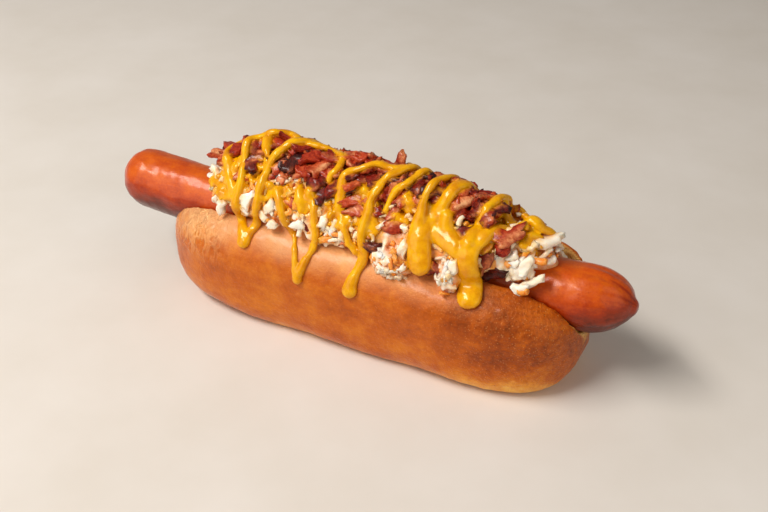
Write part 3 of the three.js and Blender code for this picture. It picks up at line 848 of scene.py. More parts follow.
def slaw_mound():
    """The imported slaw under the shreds, with its foot tucked in behind the bun's lips, and the spills."""

    def mound(along, angle):
        undercut = HEAP_UNDERCUT * smoothstep(0.75, 0.3, np.cos(angle)) * (along > 0)
        x = HEAP_MIDDLE + (HEAP_HALF_LENGTH - HEAP_FOOT_SETBACK * np.sin(angle) ** 2 - undercut) * along
        width, height = heap_taper(HEAP_MIDDLE + HEAP_HALF_LENGTH * along)
        lump = 0.7 * np.sin(0.21 * x + 2 * angle) + 0.5 * np.sin(0.37 * x - 3 * angle)
        tucked = 1 - 0.14 * smoothstep(0.3, -0.2, np.cos(angle))
        wide = (HEAP_HALF_WIDTH + lump) * width * tucked * drawn_width(x, np.sin(angle))
        high = np.where(np.cos(angle) > 0, (HEAP_RISE + lump) * height, HEAP_SINK * width)
        return x, wide * np.sin(angle), HEAP_BASE + high * np.cos(angle)

    def lump_at(middle, half):
        def place(along, angle):
            close = np.sqrt(1 - along * along)
            local = (along, close * np.sin(angle), close * np.cos(angle))
            return [m + h * k for m, h, k in zip(middle, half, local)]

        return place

    spills = [warped_sphere(SPILL_AROUND, SPILL_RINGS, lump_at(*spill)) for spill in SPILLS]
    return merged([warped_sphere(MOUND_AROUND, MOUND_RINGS, mound)] + spills)


def strip(length, width, thickness, bend, side_bend, twist):
    """A shred along X: a flat strip with rounded edges and blunt ends."""
    along = np.array([-1, -0.93, -0.5, 0, 0.5, 0.93, 1])
    turn = 2 * np.pi * (np.arange(STRIP_SIDES) + 0.5) / STRIP_SIDES
    size = np.where(np.abs(along) > 0.99, 0.6, 1.0)[:, None]
    y = width / 2 * size * signed_power(np.cos(turn), 0.6)[None, :]
    z = thickness / 2 * size * signed_power(np.sin(turn), 0.6)[None, :]
    roll = (twist * along)[:, None]
    y, z = y * np.cos(roll) - z * np.sin(roll), y * np.sin(roll) + z * np.cos(roll)
    y = y + (side_bend * along**2)[:, None]
    z = z + (bend * along**2)[:, None]
    x = np.repeat(along[:, None] * length / 2, STRIP_SIDES, 1)
    return np.stack([x, y, z], 2).reshape(-1, 3), tube_faces(len(along), STRIP_SIDES)


def ragged_chunk(rng, length, width, thickness, taper, around, rings):
    """A chopped piece: a warped block with worn edges and a ragged outline.

    The taper makes it narrower at its left and wider at its right.
    """
    phase = rng.uniform(0, 2 * np.pi, 8)
    curl = rng.uniform(-0.1, 0.1) * length
    ripple = rng.uniform(0.1, 0.5)

    def place(along, angle):
        close = (1 - along * along) ** 0.2
        v = close * signed_power(np.sin(angle), 0.5)
        w = close * signed_power(np.cos(angle), 0.65)
        ragged = 1 + 0.16 * np.sin(4 * v + phase[0]) + 0.12 * np.sin(9 * v + phase[1])
        uneven = 1 + taper * along + 0.2 * np.sin(2.6 * along + phase[2])
        uneven = uneven + 0.12 * np.sin(7 * along + phase[3])
        x = length / 2 * along * ragged
        y = width / 2 * v * uneven + 0.12 * width * np.sin(2.6 * along + phase[4])
        wave = curl * along**2 + ripple * np.sin(3 * along + phase[5])
        wave = wave + 0.3 * np.sin(3 * v + 2 * along + phase[6])
        z = wave + thickness / 2 * w * (1 + 0.22 * np.sin(5 * along + 4 * v + phase[7]))
        return x, y, z

    verts, faces = warped_sphere(around, rings, place)
    return verts + 0.02 * min(width, 4) * rng.standard_normal(verts.shape), faces


def even_spot(index, middle, half):
    """A place along X for each index, so that many of them lie evenly over the length."""
    return middle + (2 * ((index * GOLDEN) % 1) - 1) * half


def laid(verts, point, normal, spin, tilt):
    """Turns a piece so that its Z faces along the normal, and moves it to the point."""
    across = normal.cross(Vector((1, 0, 0))).normalized()
    lengthways = across.cross(normal)
    base = np.array([lengthways, across, normal])
    cos_s, sin_s, cos_t, sin_t = math.cos(spin), math.sin(spin), math.cos(tilt), math.sin(tilt)
    tilted = verts @ np.array([[cos_t, 0, -sin_t], [0, 1, 0], [sin_t, 0, cos_t]])
    spun = tilted @ np.array([[cos_s, sin_s, 0], [-sin_s, cos_s, 0], [0, 0, 1]])
    return spun @ base + np.array(point)


def scatter(name, pieces, material, slot, node):
    """One object of many loose pieces: each is (verts, faces, tint row or rows for its vertices)."""
    obj = mesh_object(name, *merged([piece[:2] for piece in pieces]), material)
    paint(obj, "tint", np.concatenate([np.broadcast_to(t, (len(v), 3)) for v, _, t in pieces]))
    return dressed(obj, slot, node)


CABBAGE = 0
CARROT = 1
CARROT_SHARE = 0.16
DRESSED_SHREDS = 820

# The loose shreds, by the numbers that give each its place.
LOOSE_CABBAGE = range(1000, 1260)
LOOSE_CARROTS = range(2000, 2110)

# One shred in twelve lies on a spill, sunk a little, and one in three of those on the second spill.
# They lie between these shares of its half length and these degrees from its top.
SPILL_EVERY = 12
SECOND_SPILL_EVERY = 36
SPILL_SINK = 0.4
SPILL_ALONG = (-0.75, 0.6)
SPILL_DEGREES = (-150, -20)

# The share of the shreds that lie on the far side, and the degrees from the crest that the bacon covers.
FAR_SHARE = 0.42
UNDER_BACON = 30

# How far down its sides the heap is covered, in degrees. It reaches further down between the two spills,
# and at the heap's ends its foot is set back.
FAR_EDGE = 86
NEAR_EDGE = 82
SPILLING_EDGE = 92
SPILLING_FROM = -12
SPILLING_TO = 56
END_SETBACK = 7

SLAW_SEED = 11
CABBAGE_SEED = 17
CARROT_SEED = 23
SLAW_VOXEL = 0.6
HOLLOW_DEPTH = 1.9

# The deepest tone of a piece of cabbage, from 0, white, to 1: of any, and of those in their places.
DEEPEST_TONE = 0.7
DEEPEST_KEY_TONE = 0.35

# Pieces that stand out: x, degrees, lift, spin, tilt (degrees), length, width, thickness.
KEY_CABBAGE = [
    (79, -2, 1.4, 12, -8, 11, 7.5, 4),
    (74.5, -29, 1.6, 35, 0, 6, 5, 2.6),
    (75.5, -58, 2.4, 70, 0, 8.5, 4, 3),
    (79.5, -79, 3.0, 32, 8, 7.5, 3.2, 2.8),
    (75, -97, 3.0, 10, 0, 6, 4.6, 3),
    (70, -50, 1.4, 60, 0, 5, 3, 2.2),
    (50.9, -79, 3.2, 88, 4, 8.5, 4.6, 3.4),
    (49.8, -101, 3.4, 80, 4, 5, 4.6, 3.2),
    (31.5, -73, 2.8, 84, 0, 8, 4, 3),
    (26.7, -93, 4.0, 20, 0, 5.5, 3.8, 3),
    (22.4, -104, 4.2, 40, 0, 4, 3, 2.6),
    (22.6, -112, 4.2, -60, 0, 4.4, 2.6, 2.4),
    (29.5, -100, 3.2, -40, 0, 4.6, 3.4, 2.8),
    (-50.5, -84, 1.6, 78, 0, 7.5, 4.2, 2.6),
    (-37.4, -64, 1.6, 60, 0, 7.5, 4.8, 2.6),
    (-27.2, -66, 1.6, 76, 0, 6.5, 3.4, 2.4),
    (-25, -86, 1.8, 20, 0, 5, 3.2, 2.6),
    (-57, -38, 1.4, -30, 0, 7, 3.4, 3),
    (-60, -26, 1.2, 15, 0, 6, 3, 2.6),
    (-14, -78, 1.6, 10, 0, 6, 3.4, 2.8),
    (-3, -66, 1.6, 60, 0, 6, 3.4, 2.6),
    (6, -74, 1.6, 80, 0, 6, 3, 2.4),
]

KEY_CARROTS = [
    (78.4, -44, 2.4, 8, 0, 7.5, 2.4, 2),
    (76.5, -98, 4.0, 20, 0, 4, 2.2, 2),
    (27.7, -80, 3.6, 60, 0, 5, 2.6, 2),
    (25.5, -101, 4.2, 10, 0, 5, 2.4, 2),
    (-16, -52, 2.0, 80, 0, 7, 2.4, 2),
    (-2, -86, 2.0, 15, 0, 8, 2.6, 2),
    (61, -50, 1.8, 65, 0, 8, 2.4, 2),
]


def slaw_spot(rng, index, lift):
    """A place for a loose shred, on the mound or on a spill."""
    if index % SPILL_EVERY == 0:
        spill = SPILLS[1 if index % SECOND_SPILL_EVERY == 0 else 0]
        along, degrees = rng.uniform(*SPILL_ALONG), rng.uniform(*SPILL_DEGREES)
        return spill_place(spill, along, degrees, lift - SPILL_SINK)
    x = even_spot(index, HEAP_MIDDLE, HEAP_HALF_LENGTH - 2)
    first = UNDER_BACON if abs(x - BACON_MIDDLE) < BACON_HALF_LENGTH + 7 else 0
    if rng.random() < FAR_SHARE:
        return heap_place(x, rng.uniform(first, FAR_EDGE), lift)
    spilling = SPILLING_FROM <= x <= SPILLING_TO
    degrees = rng.uniform(first, SPILLING_EDGE if spilling else NEAR_EDGE)
    setback = END_SETBACK * smoothstep(30, 80, degrees) * smoothstep(60, 72, abs(x - HEAP_MIDDLE))
    return heap_place(x - math.copysign(setback, x), -degrees, lift)


def turned(rng, spin, tilt):
    """A piece's spin and tilt in radians: as given in degrees, or drawn."""
    spin = rng.uniform(0, np.pi) if spin is None else math.radians(spin)
    tilt = rng.uniform(-0.4, 0.4) if tilt is None else math.radians(tilt)
    return spin, tilt


def shred(rng, spot, kind, length, width, thickness, spin=None, tilt=None):
    """One shred of cabbage or carrot at a spot, with its tint row of tone and kind."""
    bends = [rng.uniform(-1.2, 0.5), rng.uniform(-0.8, 0.8), rng.uniform(-0.5, 0.5)]
    verts, faces = strip(length, width, thickness, *bends)
    verts = verts + 0.09 * min(width, 3) * rng.standard_normal(verts.shape)
    verts = laid(verts, *spot, *turned(rng, spin, tilt))
    return verts, faces, np.array([rng.uniform(0, 0.75) ** 1.3, kind, 0])


def chunk(rng, spot, length, width, thickness, spin=None, tilt=None, deepest=DEEPEST_TONE):
    """A thick piece of cabbage at a spot, with its tint row of tone and kind."""
    verts, faces = ragged_chunk(rng, length, width, thickness, rng.uniform(-0.3, 0.3), around=12, rings=10)
    verts = laid(verts, *spot, *turned(rng, spin, tilt))
    return verts, faces, np.array([rng.uniform(0, deepest), CABBAGE, 0])


def random_shred(rng, index, kind, low, high):
    """A shred of common size: one in four is a chunk, and so is every other one on the spills."""
    spot = slaw_spot(rng, index, rng.uniform(low, high))
    if kind == CARROT:
        stick = rng.random() < 0.4
        length = rng.uniform(4.5, 8) if stick else rng.uniform(1.8, 3.2)
        return shred(rng, spot, kind, length, rng.uniform(1.2, 2.2), rng.uniform(0.9, 1.6))
    if rng.random() < (0.5 if index % SPILL_EVERY == 0 else 0.25):
        return chunk(rng, spot, rng.uniform(2.8, 5.2), rng.uniform(2.0, 3.4), rng.uniform(1.2, 2.2))
    return shred(rng, spot, kind, rng.uniform(3.2, 7.5), rng.uniform(1.1, 2.4), rng.uniform(0.9, 1.7))


def paint_hollows(obj, mound_tree):
    """Paints 1 where the slaw lies deep, down at the mound under the shreds, and 0 on what stands out."""
    above = []
    for point in positions(obj):
        near, normal, _, distance = mound_tree.find_nearest(Vector(point))
        above.append(distance if (Vector(point) - near).dot(normal) > 0 else 0)
    paint(obj, "hollow", smoothstep(HOLLOW_DEPTH, 0.2, np.array(above)))


def dressed_slaw():
    """Core and most of the shreds, stuck together by the dressing in one soft skin."""
    rng = np.random.default_rng(SLAW_SEED)
    kinds = [CARROT if rng.random() < CARROT_SHARE else CABBAGE for _ in range(DRESSED_SHREDS)]
    pieces = [(*slaw_mound(), np.array([0.7, CABBAGE, 0]))]
    pieces += [random_shred(rng, i, kind, -0.8, 1.1) for i, kind in enumerate(kinds)]
    loose = merged([piece[:2] for piece in pieces])
    skin = remeshed(mesh_object("slaw_dressed", *loose), SLAW_VOXEL, smoothing=2)
    skin.data.materials.append(slaw_material())

    verts = positions(skin)
    owners = np.concatenate([np.full(len(faces), i) for i, (_, faces, _) in enumerate(pieces)])
    tree = search_tree(*loose)
    nearest = [tree.find_nearest(Vector(p))[2] for p in verts]
    tints = np.array([tint for _, _, tint in pieces])[owners[nearest]]
    tints[:, 0] += 0.2 * noise_at(verts, 5, 21)
    push_out(skin, verts, 0.25 * noise_at(verts, 2.4, 20))
    paint(skin, "tint", np.clip(tints, 0, 1))
    return dressed(skin, "slaw", "slaw_heap")


def loose_shreds(name, seed, kind, numbers, low, high, key_rows):
    """Crisp pieces of one kind on top of the dressed slaw: some at random, and those in their places.

    The random ones lie between low and high over the heap.
    """
    rng = np.random.default_rng(seed)
    pieces = [random_shred(rng, i, kind, low, high) for i in numbers]
    for x, degrees, lift, spin, tilt, *size in key_rows:
        spot = heap_place(x, degrees, lift)
        if kind == CARROT:
            pieces.append(shred(rng, spot, kind, *size, spin, tilt))
        else:
            pieces.append(chunk(rng, spot, *size, spin, tilt, DEEPEST_KEY_TONE))
    return scatter(name, pieces, slaw_material(), "slaw", "slaw_heap")


# ---------------------------------------------------------------- bacon

# Pieces in their places: x, degrees, lift, spin, tilt (degrees), length, width and char (0 pale, 1 black).
KEY_BACON = [
    (-59, -6, 2.4, 24, 10, 12, 6, 0.12),
    (-56, 8, 3.2, -12, -10, 12, 6.5, 0.2),
    (-53, -22, 2.0, 35, 0, 9, 5, 0.25),
    (-50, -8, 2.2, 60, 8, 9, 5, 0.45),
    (-47, 8, 2.4, 20, 14, 8, 5, 0.5),
    (-41, 8, 2.4, -30, 0, 7, 5, 0.7),
    (-39, -26, 2.2, 75, 0, 8.5, 7, 0.72),
    (-34, 2, 2.6, 15, 0, 9, 5, 0.3),
    (-31, 10, 4.6, 60, 12, 9, 5.5, 0.3),
    (-36, 9, 5.0, 30, 0, 8, 5, 0.35),
    (-31.7, -42, 1.8, 80, 0, 9, 4.5, 0.4),
    (-26, 10, 2.8, -20, 10, 9, 5, 0.1),
    (-22, 0, 2.6, 30, 8, 10, 6, 0.5),
    (-28, -24, 2.0, 50, 0, 8, 5, 0.3),
    (-21.8, -21, 2.4, 65, 0, 10, 6.5, 0.85),
    (-17, -24, 2.0, -30, 0, 8, 5, 0.35),
    (-16, -12, 2.4, 20, 0, 9, 6, 0.35),
    (-11, -20, 2.4, 70, 10, 9, 6, 0.2),
    (-9.5, -32, 2.2, 20, 0, 8, 6, 0.62),
    (-6.5, -41, 2.0, 60, 0, 7, 5, 0.8),
    (-2.8, -33, 2.6, 86, 0, 10, 5.5, 0.6),
    (-7, -6, 2.8, -15, 10, 9, 6, 0.4),
    (0, 2, 3.0, 25, -8, 10, 6.5, 0.2),
    (4.6, 4, 3.0, -20, 12, 8, 5.5, 0.25),
    (9, 8, 3.6, 50, 30, 9, 6, 0.3),
    (2, -17, 2.2, 10, 0, 8, 5, 0.15),
    (9.5, -20, 2.4, 30, 0, 9, 5, 0.65),
    (13.4, -16, 2.2, 60, 0, 9, 5, 0.55),
    (7.4, -27, 2.4, 25, 0, 10, 5, 0.96),
    (8.1, -38, 2.4, 30, 12, 12, 4.5, 0.25),
    (8.3, -46, 2.2, 20, 0, 9, 5, 0.3),
    (14.4, -33, 2.0, 65, 0, 8, 5, 0.35),
    (22.9, -45, 1.6, 85, 0, 6, 3.6, 0.3),
    (16.5, -43, 2.0, 40, 0, 7, 5, 0.45),
    (18, 12, 3.0, 70, 78, 12, 6.4, 0.42),
    (12, 6, 2.8, 10, 10, 9, 6, 0.3),
    (14, -4, 2.4, -35, 0, 8, 5, 0.6),
    (20.5, -11, 2.4, 35, 0, 10, 5.5, 0.8),
    (27.4, -10, 2.4, 50, 0, 9, 5, 0.82),
    (33, 3, 3.0, 25, 8, 11, 5.5, 0.95),
    (30.8, -13, 2.4, 65, 0, 8, 5.5, 0.7),
    (38, 6, 3.0, 40, 10, 9, 6, 0.45),
    (37.4, -14, 3.0, 42, 0, 13, 6.5, 0.99),
    (43, 8, 3.4, 70, 24, 8, 5, 0.3),
    (33.4, -4, 2.4, 55, 0, 9, 5.5, 0.7),
    (26.3, -25, 2.2, 75, 0, 10, 5, 0.25),
    (23.6, -40, 1.8, 60, 0, 7, 4, 0.35),
    (25, -53, 1.8, 20, 0, 8, 5, 0.35),
    (46, 0, 2.4, 40, 0, 10, 5, 0.25),
    (54, 4, 2.6, 60, 10, 9, 5, 0.5),
    (60.4, -10, 2.4, 45, 0, 9, 5.5, 0.8),
    (58.9, -19, 2.2, 70, 0, 8, 5.5, 0.55),
    (51.8, -41, 2.0, 60, 0, 9, 5.5, 0.75),
    (67.4, -31, 4.0, 42, 0, 13, 7, 0.32),
    (66.7, -40, 3.2, 60, 0, 8, 5, 0.4),
    (60.8, -66, 2.0, 70, 0, 9, 6, 0.62),
    (64.5, -82, 1.4, 20, 0, 10, 5, 0.85),
    (44.4, -84, 2.6, 10, 0, 8, 4.5, 0.6),
    (18.6, -78, 3.0, 5, 0, 8, 3.5, 0.9),
    (73, 4, 2.0, 20, 0, 8, 5, 0.35),
]

# A piece that stands on end is wide at its foot.
STANDING_TAPER = 0.82

# All the pieces in their places are pressed in by this.
BACON_SINK = 0.6

# More bits are scattered along the crest: their length, width and thickness at full size, and their char.
LOOSE_BACON = 230
LOOSE_SIZE = np.array([11, 6.5, 3.4])
LOOSE_CHAR = (0.36, 0.22)

# A few of them lie lower down, more of these to the right.
LOW_SHARE = 0.1
LOW_MIDDLE = 16
LOW_SPREAD = 0.75

BACON_BED_SINK = 5
BACON_BED_RISE = 4.6
BACON_VOXEL = 0.7
BACON_SEED = 29


def bacon_chunk(rng, length, width, thickness, char, taper):
    """One chopped piece with a band of fat and its edges crisped."""
    verts, faces = ragged_chunk(rng, length, width, thickness, taper, around=20, rings=12)
    across = 2 * verts[:, 1] / width
    line = rng.uniform(-1, 1) + 0.35 * np.sin(3.6 * verts[:, 0] / length + rng.uniform(0, 6))
    fat = np.exp(-(((across - line) / rng.uniform(0.2, 0.5)) ** 2)) * (rng.random() < 0.75)
    crisp = 0.14 * (np.abs(verts[:, 0]) / length * 2) ** 4 + rng.normal(0, 0.04, len(verts))
    tint = np.column_stack([fat, np.clip(char + crisp, 0, 1), np.full(len(verts), rng.random())])
    return verts, faces, tint


def bacon_bed():
    """Small crumbs packed along the crest, as relief."""

    def place(along, angle):
        x = BACON_MIDDLE + BACON_HALF_LENGTH * along
        close = end_taper(along, 4, 2)
        lump = 0.6 * np.sin(0.35 * x + 2 * angle)
        y = (BACON_HALF_WIDTH + lump) * close * np.sin(angle)
        crest = HEAP_BASE + (HEAP_RISE + HEAP_RIDGE) * heap_taper(x)[1]
        return x, y, crest - BACON_BED_SINK + (BACON_BED_RISE + lump) * close * np.cos(angle)

    obj = remeshed(mesh_object("bacon_bed", *warped_sphere(60, 110, place)), BACON_VOXEL, smoothing=1)
    verts = positions(obj)
    crumbs = np.abs(noise_at(verts, 3.4, 30)) + 0.5 * np.abs(noise_at(verts, 1.7, 31))
    push_out(obj, verts, 2.2 * crumbs - 1.0)
    obj.data.materials.append(bacon_material())
    # Charred at random, and darker down between the raised crumbs: painted shade in the gaps.
    char = np.clip(0.5 + 0.5 * noise_at(verts, 6, 32) - 0.35 * crumbs, 0, 1)
    fat = smoothstep(0.25, 0.5, noise_at(verts, 3.5, 33))
    paint(obj, "tint", np.column_stack([fat, char, np.full(len(char), 0.5)]))
    return dressed(obj, "bacon", "bacon_topping")


def bacon_bits():
    """Chopped bacon: pieces in their places, more scattered over the crest, and a few further down."""
    rng = np.random.default_rng(BACON_SEED)
    pieces = []

    def add(spot, spin, tilt, length, width, thickness, char):
        taper = STANDING_TAPER if tilt > 1 else rng.uniform(-0.45, 0.45)
        verts, faces, tint = bacon_chunk(rng, length, width, thickness, char, taper)
        pieces.append((laid(verts, *spot, spin, tilt), faces, tint))

    for x, degrees, lift, spin, tilt, length, width, char in KEY_BACON:
        spot = heap_place(x, degrees, lift - BACON_SINK)
        add(spot, math.radians(spin), math.radians(tilt), length, width, rng.uniform(2, 3.2), char)
    for i in range(LOOSE_BACON):
        low = rng.random() < LOW_SHARE
        x = even_spot(i, BACON_MIDDLE, BACON_HALF_LENGTH)
        if low:
            x = LOW_MIDDLE + LOW_SPREAD * x
        degrees = rng.uniform(-80, 60) if low else rng.normal(0, 18)
        char = min(1, max(0, rng.normal(*LOOSE_CHAR)))
        size = rng.uniform(0.35, 0.9)
        spot = heap_place(x, degrees, rng.uniform(-1.2, 2.0))
        spin, tilt = rng.uniform(0, np.pi), rng.uniform(-0.7, 0.7)
        add(spot, spin, tilt, *(LOOSE_SIZE * size), char)
    return scatter("bacon_bits", pieces, bacon_material(), "bacon", "bacon_topping")


# ---------------------------------------------------------------- mustard

STRAND_STEP = 0.6
TUBE_SIDES = 12
MUSTARD_VOXEL = 0.5
NEAR_SEED = 50
FAR_SEED = 90

# A strand is laid down by looking for what is under it, from above its middle line to below it.
LOOK_FROM = 12.0
LOOK_BELOW = 8

# A stiff strand (1) rests on what is highest under it and a limp one (0) follows every dip. Its middle line
# lies this share of its half height above that.
STIFFNESS = 0.35
BEDDING = 0.36

# How far the middle line of a strand is smoothed, in steps. Flows as wide as this are smoothed more.
LINE_WINDOW = 4
WIDE_FLOW = 3.5
WIDE_WINDOW = 9
OUT_WINDOW = 6
LIFT_WINDOW = 5

THIN_AND_WIDE = [1.5, 3.8]
THIN_FLATNESS = 0.78
WIDE_FLATNESS = 0.46

# Each strand starts this deep in the heap, and has come up out of it after a length.
START_SINK = 2.2
START_LENGTH = 3.5

# The film of spread mustard starts at this share of spread, and reaches this far into what it lies on.
FILM_FROM = 0.3
FILM_SINK = 0.5

# Strands of mustard. Each has rows on the heap (x, degrees from the crest, half the strand's width) and rows
# on the near wall of the bun (x, height, half width), where it runs on down the crust.
NEAR_STRANDS = [
    # the loop on top and the left leg of the first V
    ([(-24, 5, 1.5), (-27, 9, 1.7), (-30.5, 14, 1.8), (-34, 9, 1.7), (-36, 4, 1.7), (-42, 4, 1.6),
      (-45.6, -6, 1.6), (-45, -16, 1.5), (-43.8, -28, 1.5), (-42.4, -44, 1.5), (-42.3, -62, 1.7),
      (-42.4, -80, 1.8)],
     [(-41.4, 41.2, 1.8), (-39.3, 39.8, 2.0), (-37.2, 38.1, 2.5), (-36.2, 36.4, 3.0)]),
    # its right leg
    ([(-16, 26, 1.3), (-21, 8, 1.5), (-26.5, -5, 1.7), (-30, -18, 1.6), (-32.2, -29, 1.5), (-32.7, -42, 1.5),
      (-32.8, -58, 1.6), (-32.8, -74, 1.6)],
     [(-33.6, 41.6, 1.5), (-34.8, 39.8, 1.5), (-35.8, 37.8, 1.8)]),
    # a short run between them, one on the left end of the heap, and the hook on the crest
    ([(-39, 6, 1.2), (-37.4, -3, 2.0), (-36, -12, 1.9), (-33.6, -20, 1.2)], []),
    ([(-49, 14, 1.0), (-53, 2, 1.2), (-55.6, -9, 1.4), (-55, -17, 1.6), (-53, -24, 2.0), (-50, -38, 2.1),
      (-46.4, -52, 2.0), (-44, -68, 1.6)], []),
    ([(-23, 4, 1.4), (-17, 6, 1.4), (-10, 8, 1.4), (-5.4, 0, 1.4), (-3, -7, 1.3), (-3, -15, 1.3),
      (-3, -21, 1.4), (-5, -24.5, 1.4), (-4.4, -30, 1.3)], []),
    # second V
    ([(-26.4, -39, 0.9), (-25.2, -47, 1.5), (-23, -57, 1.6), (-20.6, -72, 1.5), (-18.6, -86, 1.4)],
     [(-16.4, 41.6, 1.2), (-14, 39.2, 1.15), (-12, 35.4, 1.2), (-10.4, 31.6, 1.6), (-9.4, 29.4, 2.2)]),
    ([(-12.6, -35, 1.0), (-10.8, -43, 1.7), (-8, -54, 1.7), (-6.6, -70, 1.6), (-5.4, -86, 1.5)],
     [(-5.8, 41.6, 1.5), (-6.6, 39.4, 1.4), (-8, 35.8, 1.4), (-9.2, 31.6, 1.7)]),
    ([(-17.2, -34, 1.1), (-16.2, -41, 1.9), (-14.6, -50, 2.2), (-12.2, -61, 1.2)], []),
    # third V, which ends in the long drip
    ([(24, 8, 1.2), (19, -3, 1.3), (12.4, -5, 1.4), (6.3, -14, 1.4), (2.4, -18, 1.6), (0.8, -26, 1.9),
      (1.4, -35, 2.0), (1.6, -44, 2.0), (3.4, -56, 1.9), (6.4, -67, 1.6), (8.4, -80, 1.5)],
     [(9.6, 42, 1.6), (12.4, 41, 1.6)]),
    ([(26, 30, 1.3), (24, 8, 1.4), (20.4, -8, 1.4), (17.2, -17, 1.5), (15.2, -27, 1.5), (14, -35, 1.6),
      (14.2, -44, 1.7), (13.6, -56, 1.8), (13.6, -70, 1.8), (14.6, -84, 1.8)],
     [(15.8, 41.8, 1.8), (14.6, 39.6, 1.9), (13.4, 36, 2.0), (12.8, 33, 2.5), (12.8, 30.8, 3.0)]),
    # the fourth and fifth strands
    ([(33, 26, 1.2), (29.6, 3, 1.3), (27, -12, 1.4), (26, -18, 1.4), (22.8, -22, 1.3), (21.4, -30, 1.3),
      (20.6, -40, 1.2)], []),
    ([(41, 26, 1.2), (39.6, 6, 1.2), (37.6, -5, 1.2), (35.6, -15, 1.3), (34.9, -23, 1.4), (34.7, -31, 1.8),
      (34.6, -40, 2.6), (35.2, -49, 3.3)], []),
    # the wide flow to the blob on the near edge
    ([(50, 24, 1.6), (47, 8, 2.0), (43.8, -3, 2.4), (42.4, -17.5, 2.5), (39.6, -29, 2.7), (36.8, -38.5, 3.2),
      (35.6, -48, 4.0), (36.2, -58, 4.5), (37.4, -70, 4.8), (38.8, -83, 4.7)], []),
    ([(43.7, -24, 1.7), (44.4, -34, 2.4), (46.6, -44, 2.8), (50, -54, 2.8)], []),
    ([(39, -36, 2.4), (43, -46, 3.0), (49, -55, 3.0), (54, -60, 3.0)], []),
    # the wide flow to the drip on its right
    ([(66.5, -14, 1.6), (63.4, -24, 2.2), (59.6, -38, 2.6), (55.6, -52, 3.6), (55.8, -66, 4.1),
      (56.8, -80, 4.2)],
     [(57.6, 41.4, 4.3), (58.6, 39.6, 4.5), (59, 38.2, 4.6)]),
    ([(61, 28, 1.4), (59, 6, 1.6), (57.2, -9, 1.7), (55.8, -22, 1.9), (55.4, -34, 2.2), (55, -48, 2.6)], []),
    # the loops at the right end of the heap
    ([(56, 30, 1.4), (60, 12, 1.8), (65, 2, 2.0), (69, -8, 1.8), (72.4, -17, 1.5)], []),
    ([(68, 10, 1.6), (72.6, 4, 2.2), (76.6, 0, 2.0), (79.6, 8, 1.5), (81, 16, 1.2)], []),
    ([(71.4, -21, 0.8), (74, -18, 1.3), (76.4, -14.5, 1.2), (78.2, -10, 0.8)], []),
]

# The same on the far side, with rows on the far wall.
FAR_STRANDS = [
    ([(-50, 12, 1.3), (-55, 40, 1.5), (-51, 60, 1.6)], [(-49, 47.2, 1.5), (-47.6, 44, 1.9)]),
    ([(-28, 14, 1.4), (-34, 28, 1.5), (-40, 54, 1.6), (-44, 66, 1.5)], []),
    ([(-16, 26, 1.4), (-20, 52, 1.6)],
     [(-22.5, 50.2, 1.4), (-20.6, 43, 1.2), (-19.6, 34, 1.4), (-19.4, 31.4, 2.1)]),
    ([(-3, 12, 1.4), (-11, 44, 1.7), (-16, 66, 1.5), (-20, 80, 1.3)], []),
    ([(24, 8, 1.3), (17, 26, 1.4), (7, 52, 1.6), (2, 70, 1.8)], []),
    ([(26, 34, 1.4), (27, 54, 1.7)], [(24.6, 50.6, 1.6), (23.6, 46, 1.6), (21, 41, 2.0), (19.8, 38.6, 2.8)]),
    ([(41, 28, 1.3), (36, 54, 1.6), (33, 66, 1.5), (27, 78, 1.3)], []),
    ([(50, 24, 1.4), (56, 34, 1.5), (54, 56, 2.2)], [(51.4, 50.2, 2.8), (51.2, 47.6, 3.3)]),
    ([(61, 28, 1.3), (67, 48, 1.6), (69, 64, 1.4)], []),
]

# Mustard that has spread over the heap: x, degrees, and half its size in x and degrees.
POOLS = [
    (-54, -26, 4.5, 24),
    (-50, -54, 5, 22),
    (-49, -28, 4, 20),
    (-42.5, -60, 4, 20),
    (-38, -34, 3, 14),
    (-36, -8, 4, 18),
    (-22, -50, 4, 16),
    (-12, -52, 4, 14),
    (1, -46, 4, 22),
    (5, -62, 4, 16),
    (14, -54, 5, 24),
    (28, -34, 4.5, 16),
    (37, -36, 6, 18),
    (44, -46, 6, 14),
    (52, -46, 5, 18),
    (61, -34, 5, 18),
    (70, 2, 7, 14),
    (-57, -50, 4, 16),
    (-30, -50, 3.5, 14),
    (9, -30, 4, 12),
    (74, -24, 4, 12),
    (58, 8, 5, 12),
    (-30, 12, 5, 8),
    (20, 4, 6, 8),
    (44, 2, 6, 8),
    (-20, 40, 8, 14),
    (20, 46, 8, 14),
    (56, 44, 7, 16),
]


def spread(points):
    """How much mustard has spread at each point of the heap, from 0 to 1, with ragged edges."""
    x, y, z = points.T
    angle = np.degrees(np.arctan2(y / HEAP_HALF_WIDTH, (z - HEAP_BASE) / HEAP_RISE))
    ragged = 0.5 * noise_at(points, 4, 61) + 0.3 * noise_at(points, 1.8, 62)
    share = np.zeros(len(points))
    for middle, degrees, half_x, half_degrees in POOLS:
        away = np.hypot((x - middle) / half_x, (angle - degrees) / half_degrees)
        share = np.maximum(share, smoothstep(1.25, 0.6, away + ragged))
    return share


def curve_points(rows):
    """Points at even steps on a smooth curve through control rows whose first three numbers are a place."""
    rows = np.array(rows, float)
    padded = np.vstack([2 * rows[0] - rows[1], rows, 2 * rows[-1] - rows[-2]])
    made = []
    for a, b, c, d in zip(padded, padded[1:], padded[2:], padded[3:]):
        count = max(2, int(np.linalg.norm((c - b)[:3]) / STRAND_STEP))
        t = np.linspace(0, 1, count, endpoint=False)[:, None]
        square = (2 * a - 5 * b + 4 * c - d) * t**2
        cube = (3 * b - a - 3 * c + d) * t**3
        made.append(0.5 * (2 * b + (c - a) * t + square + cube))
    return np.vstack(made + [rows[-1:]])


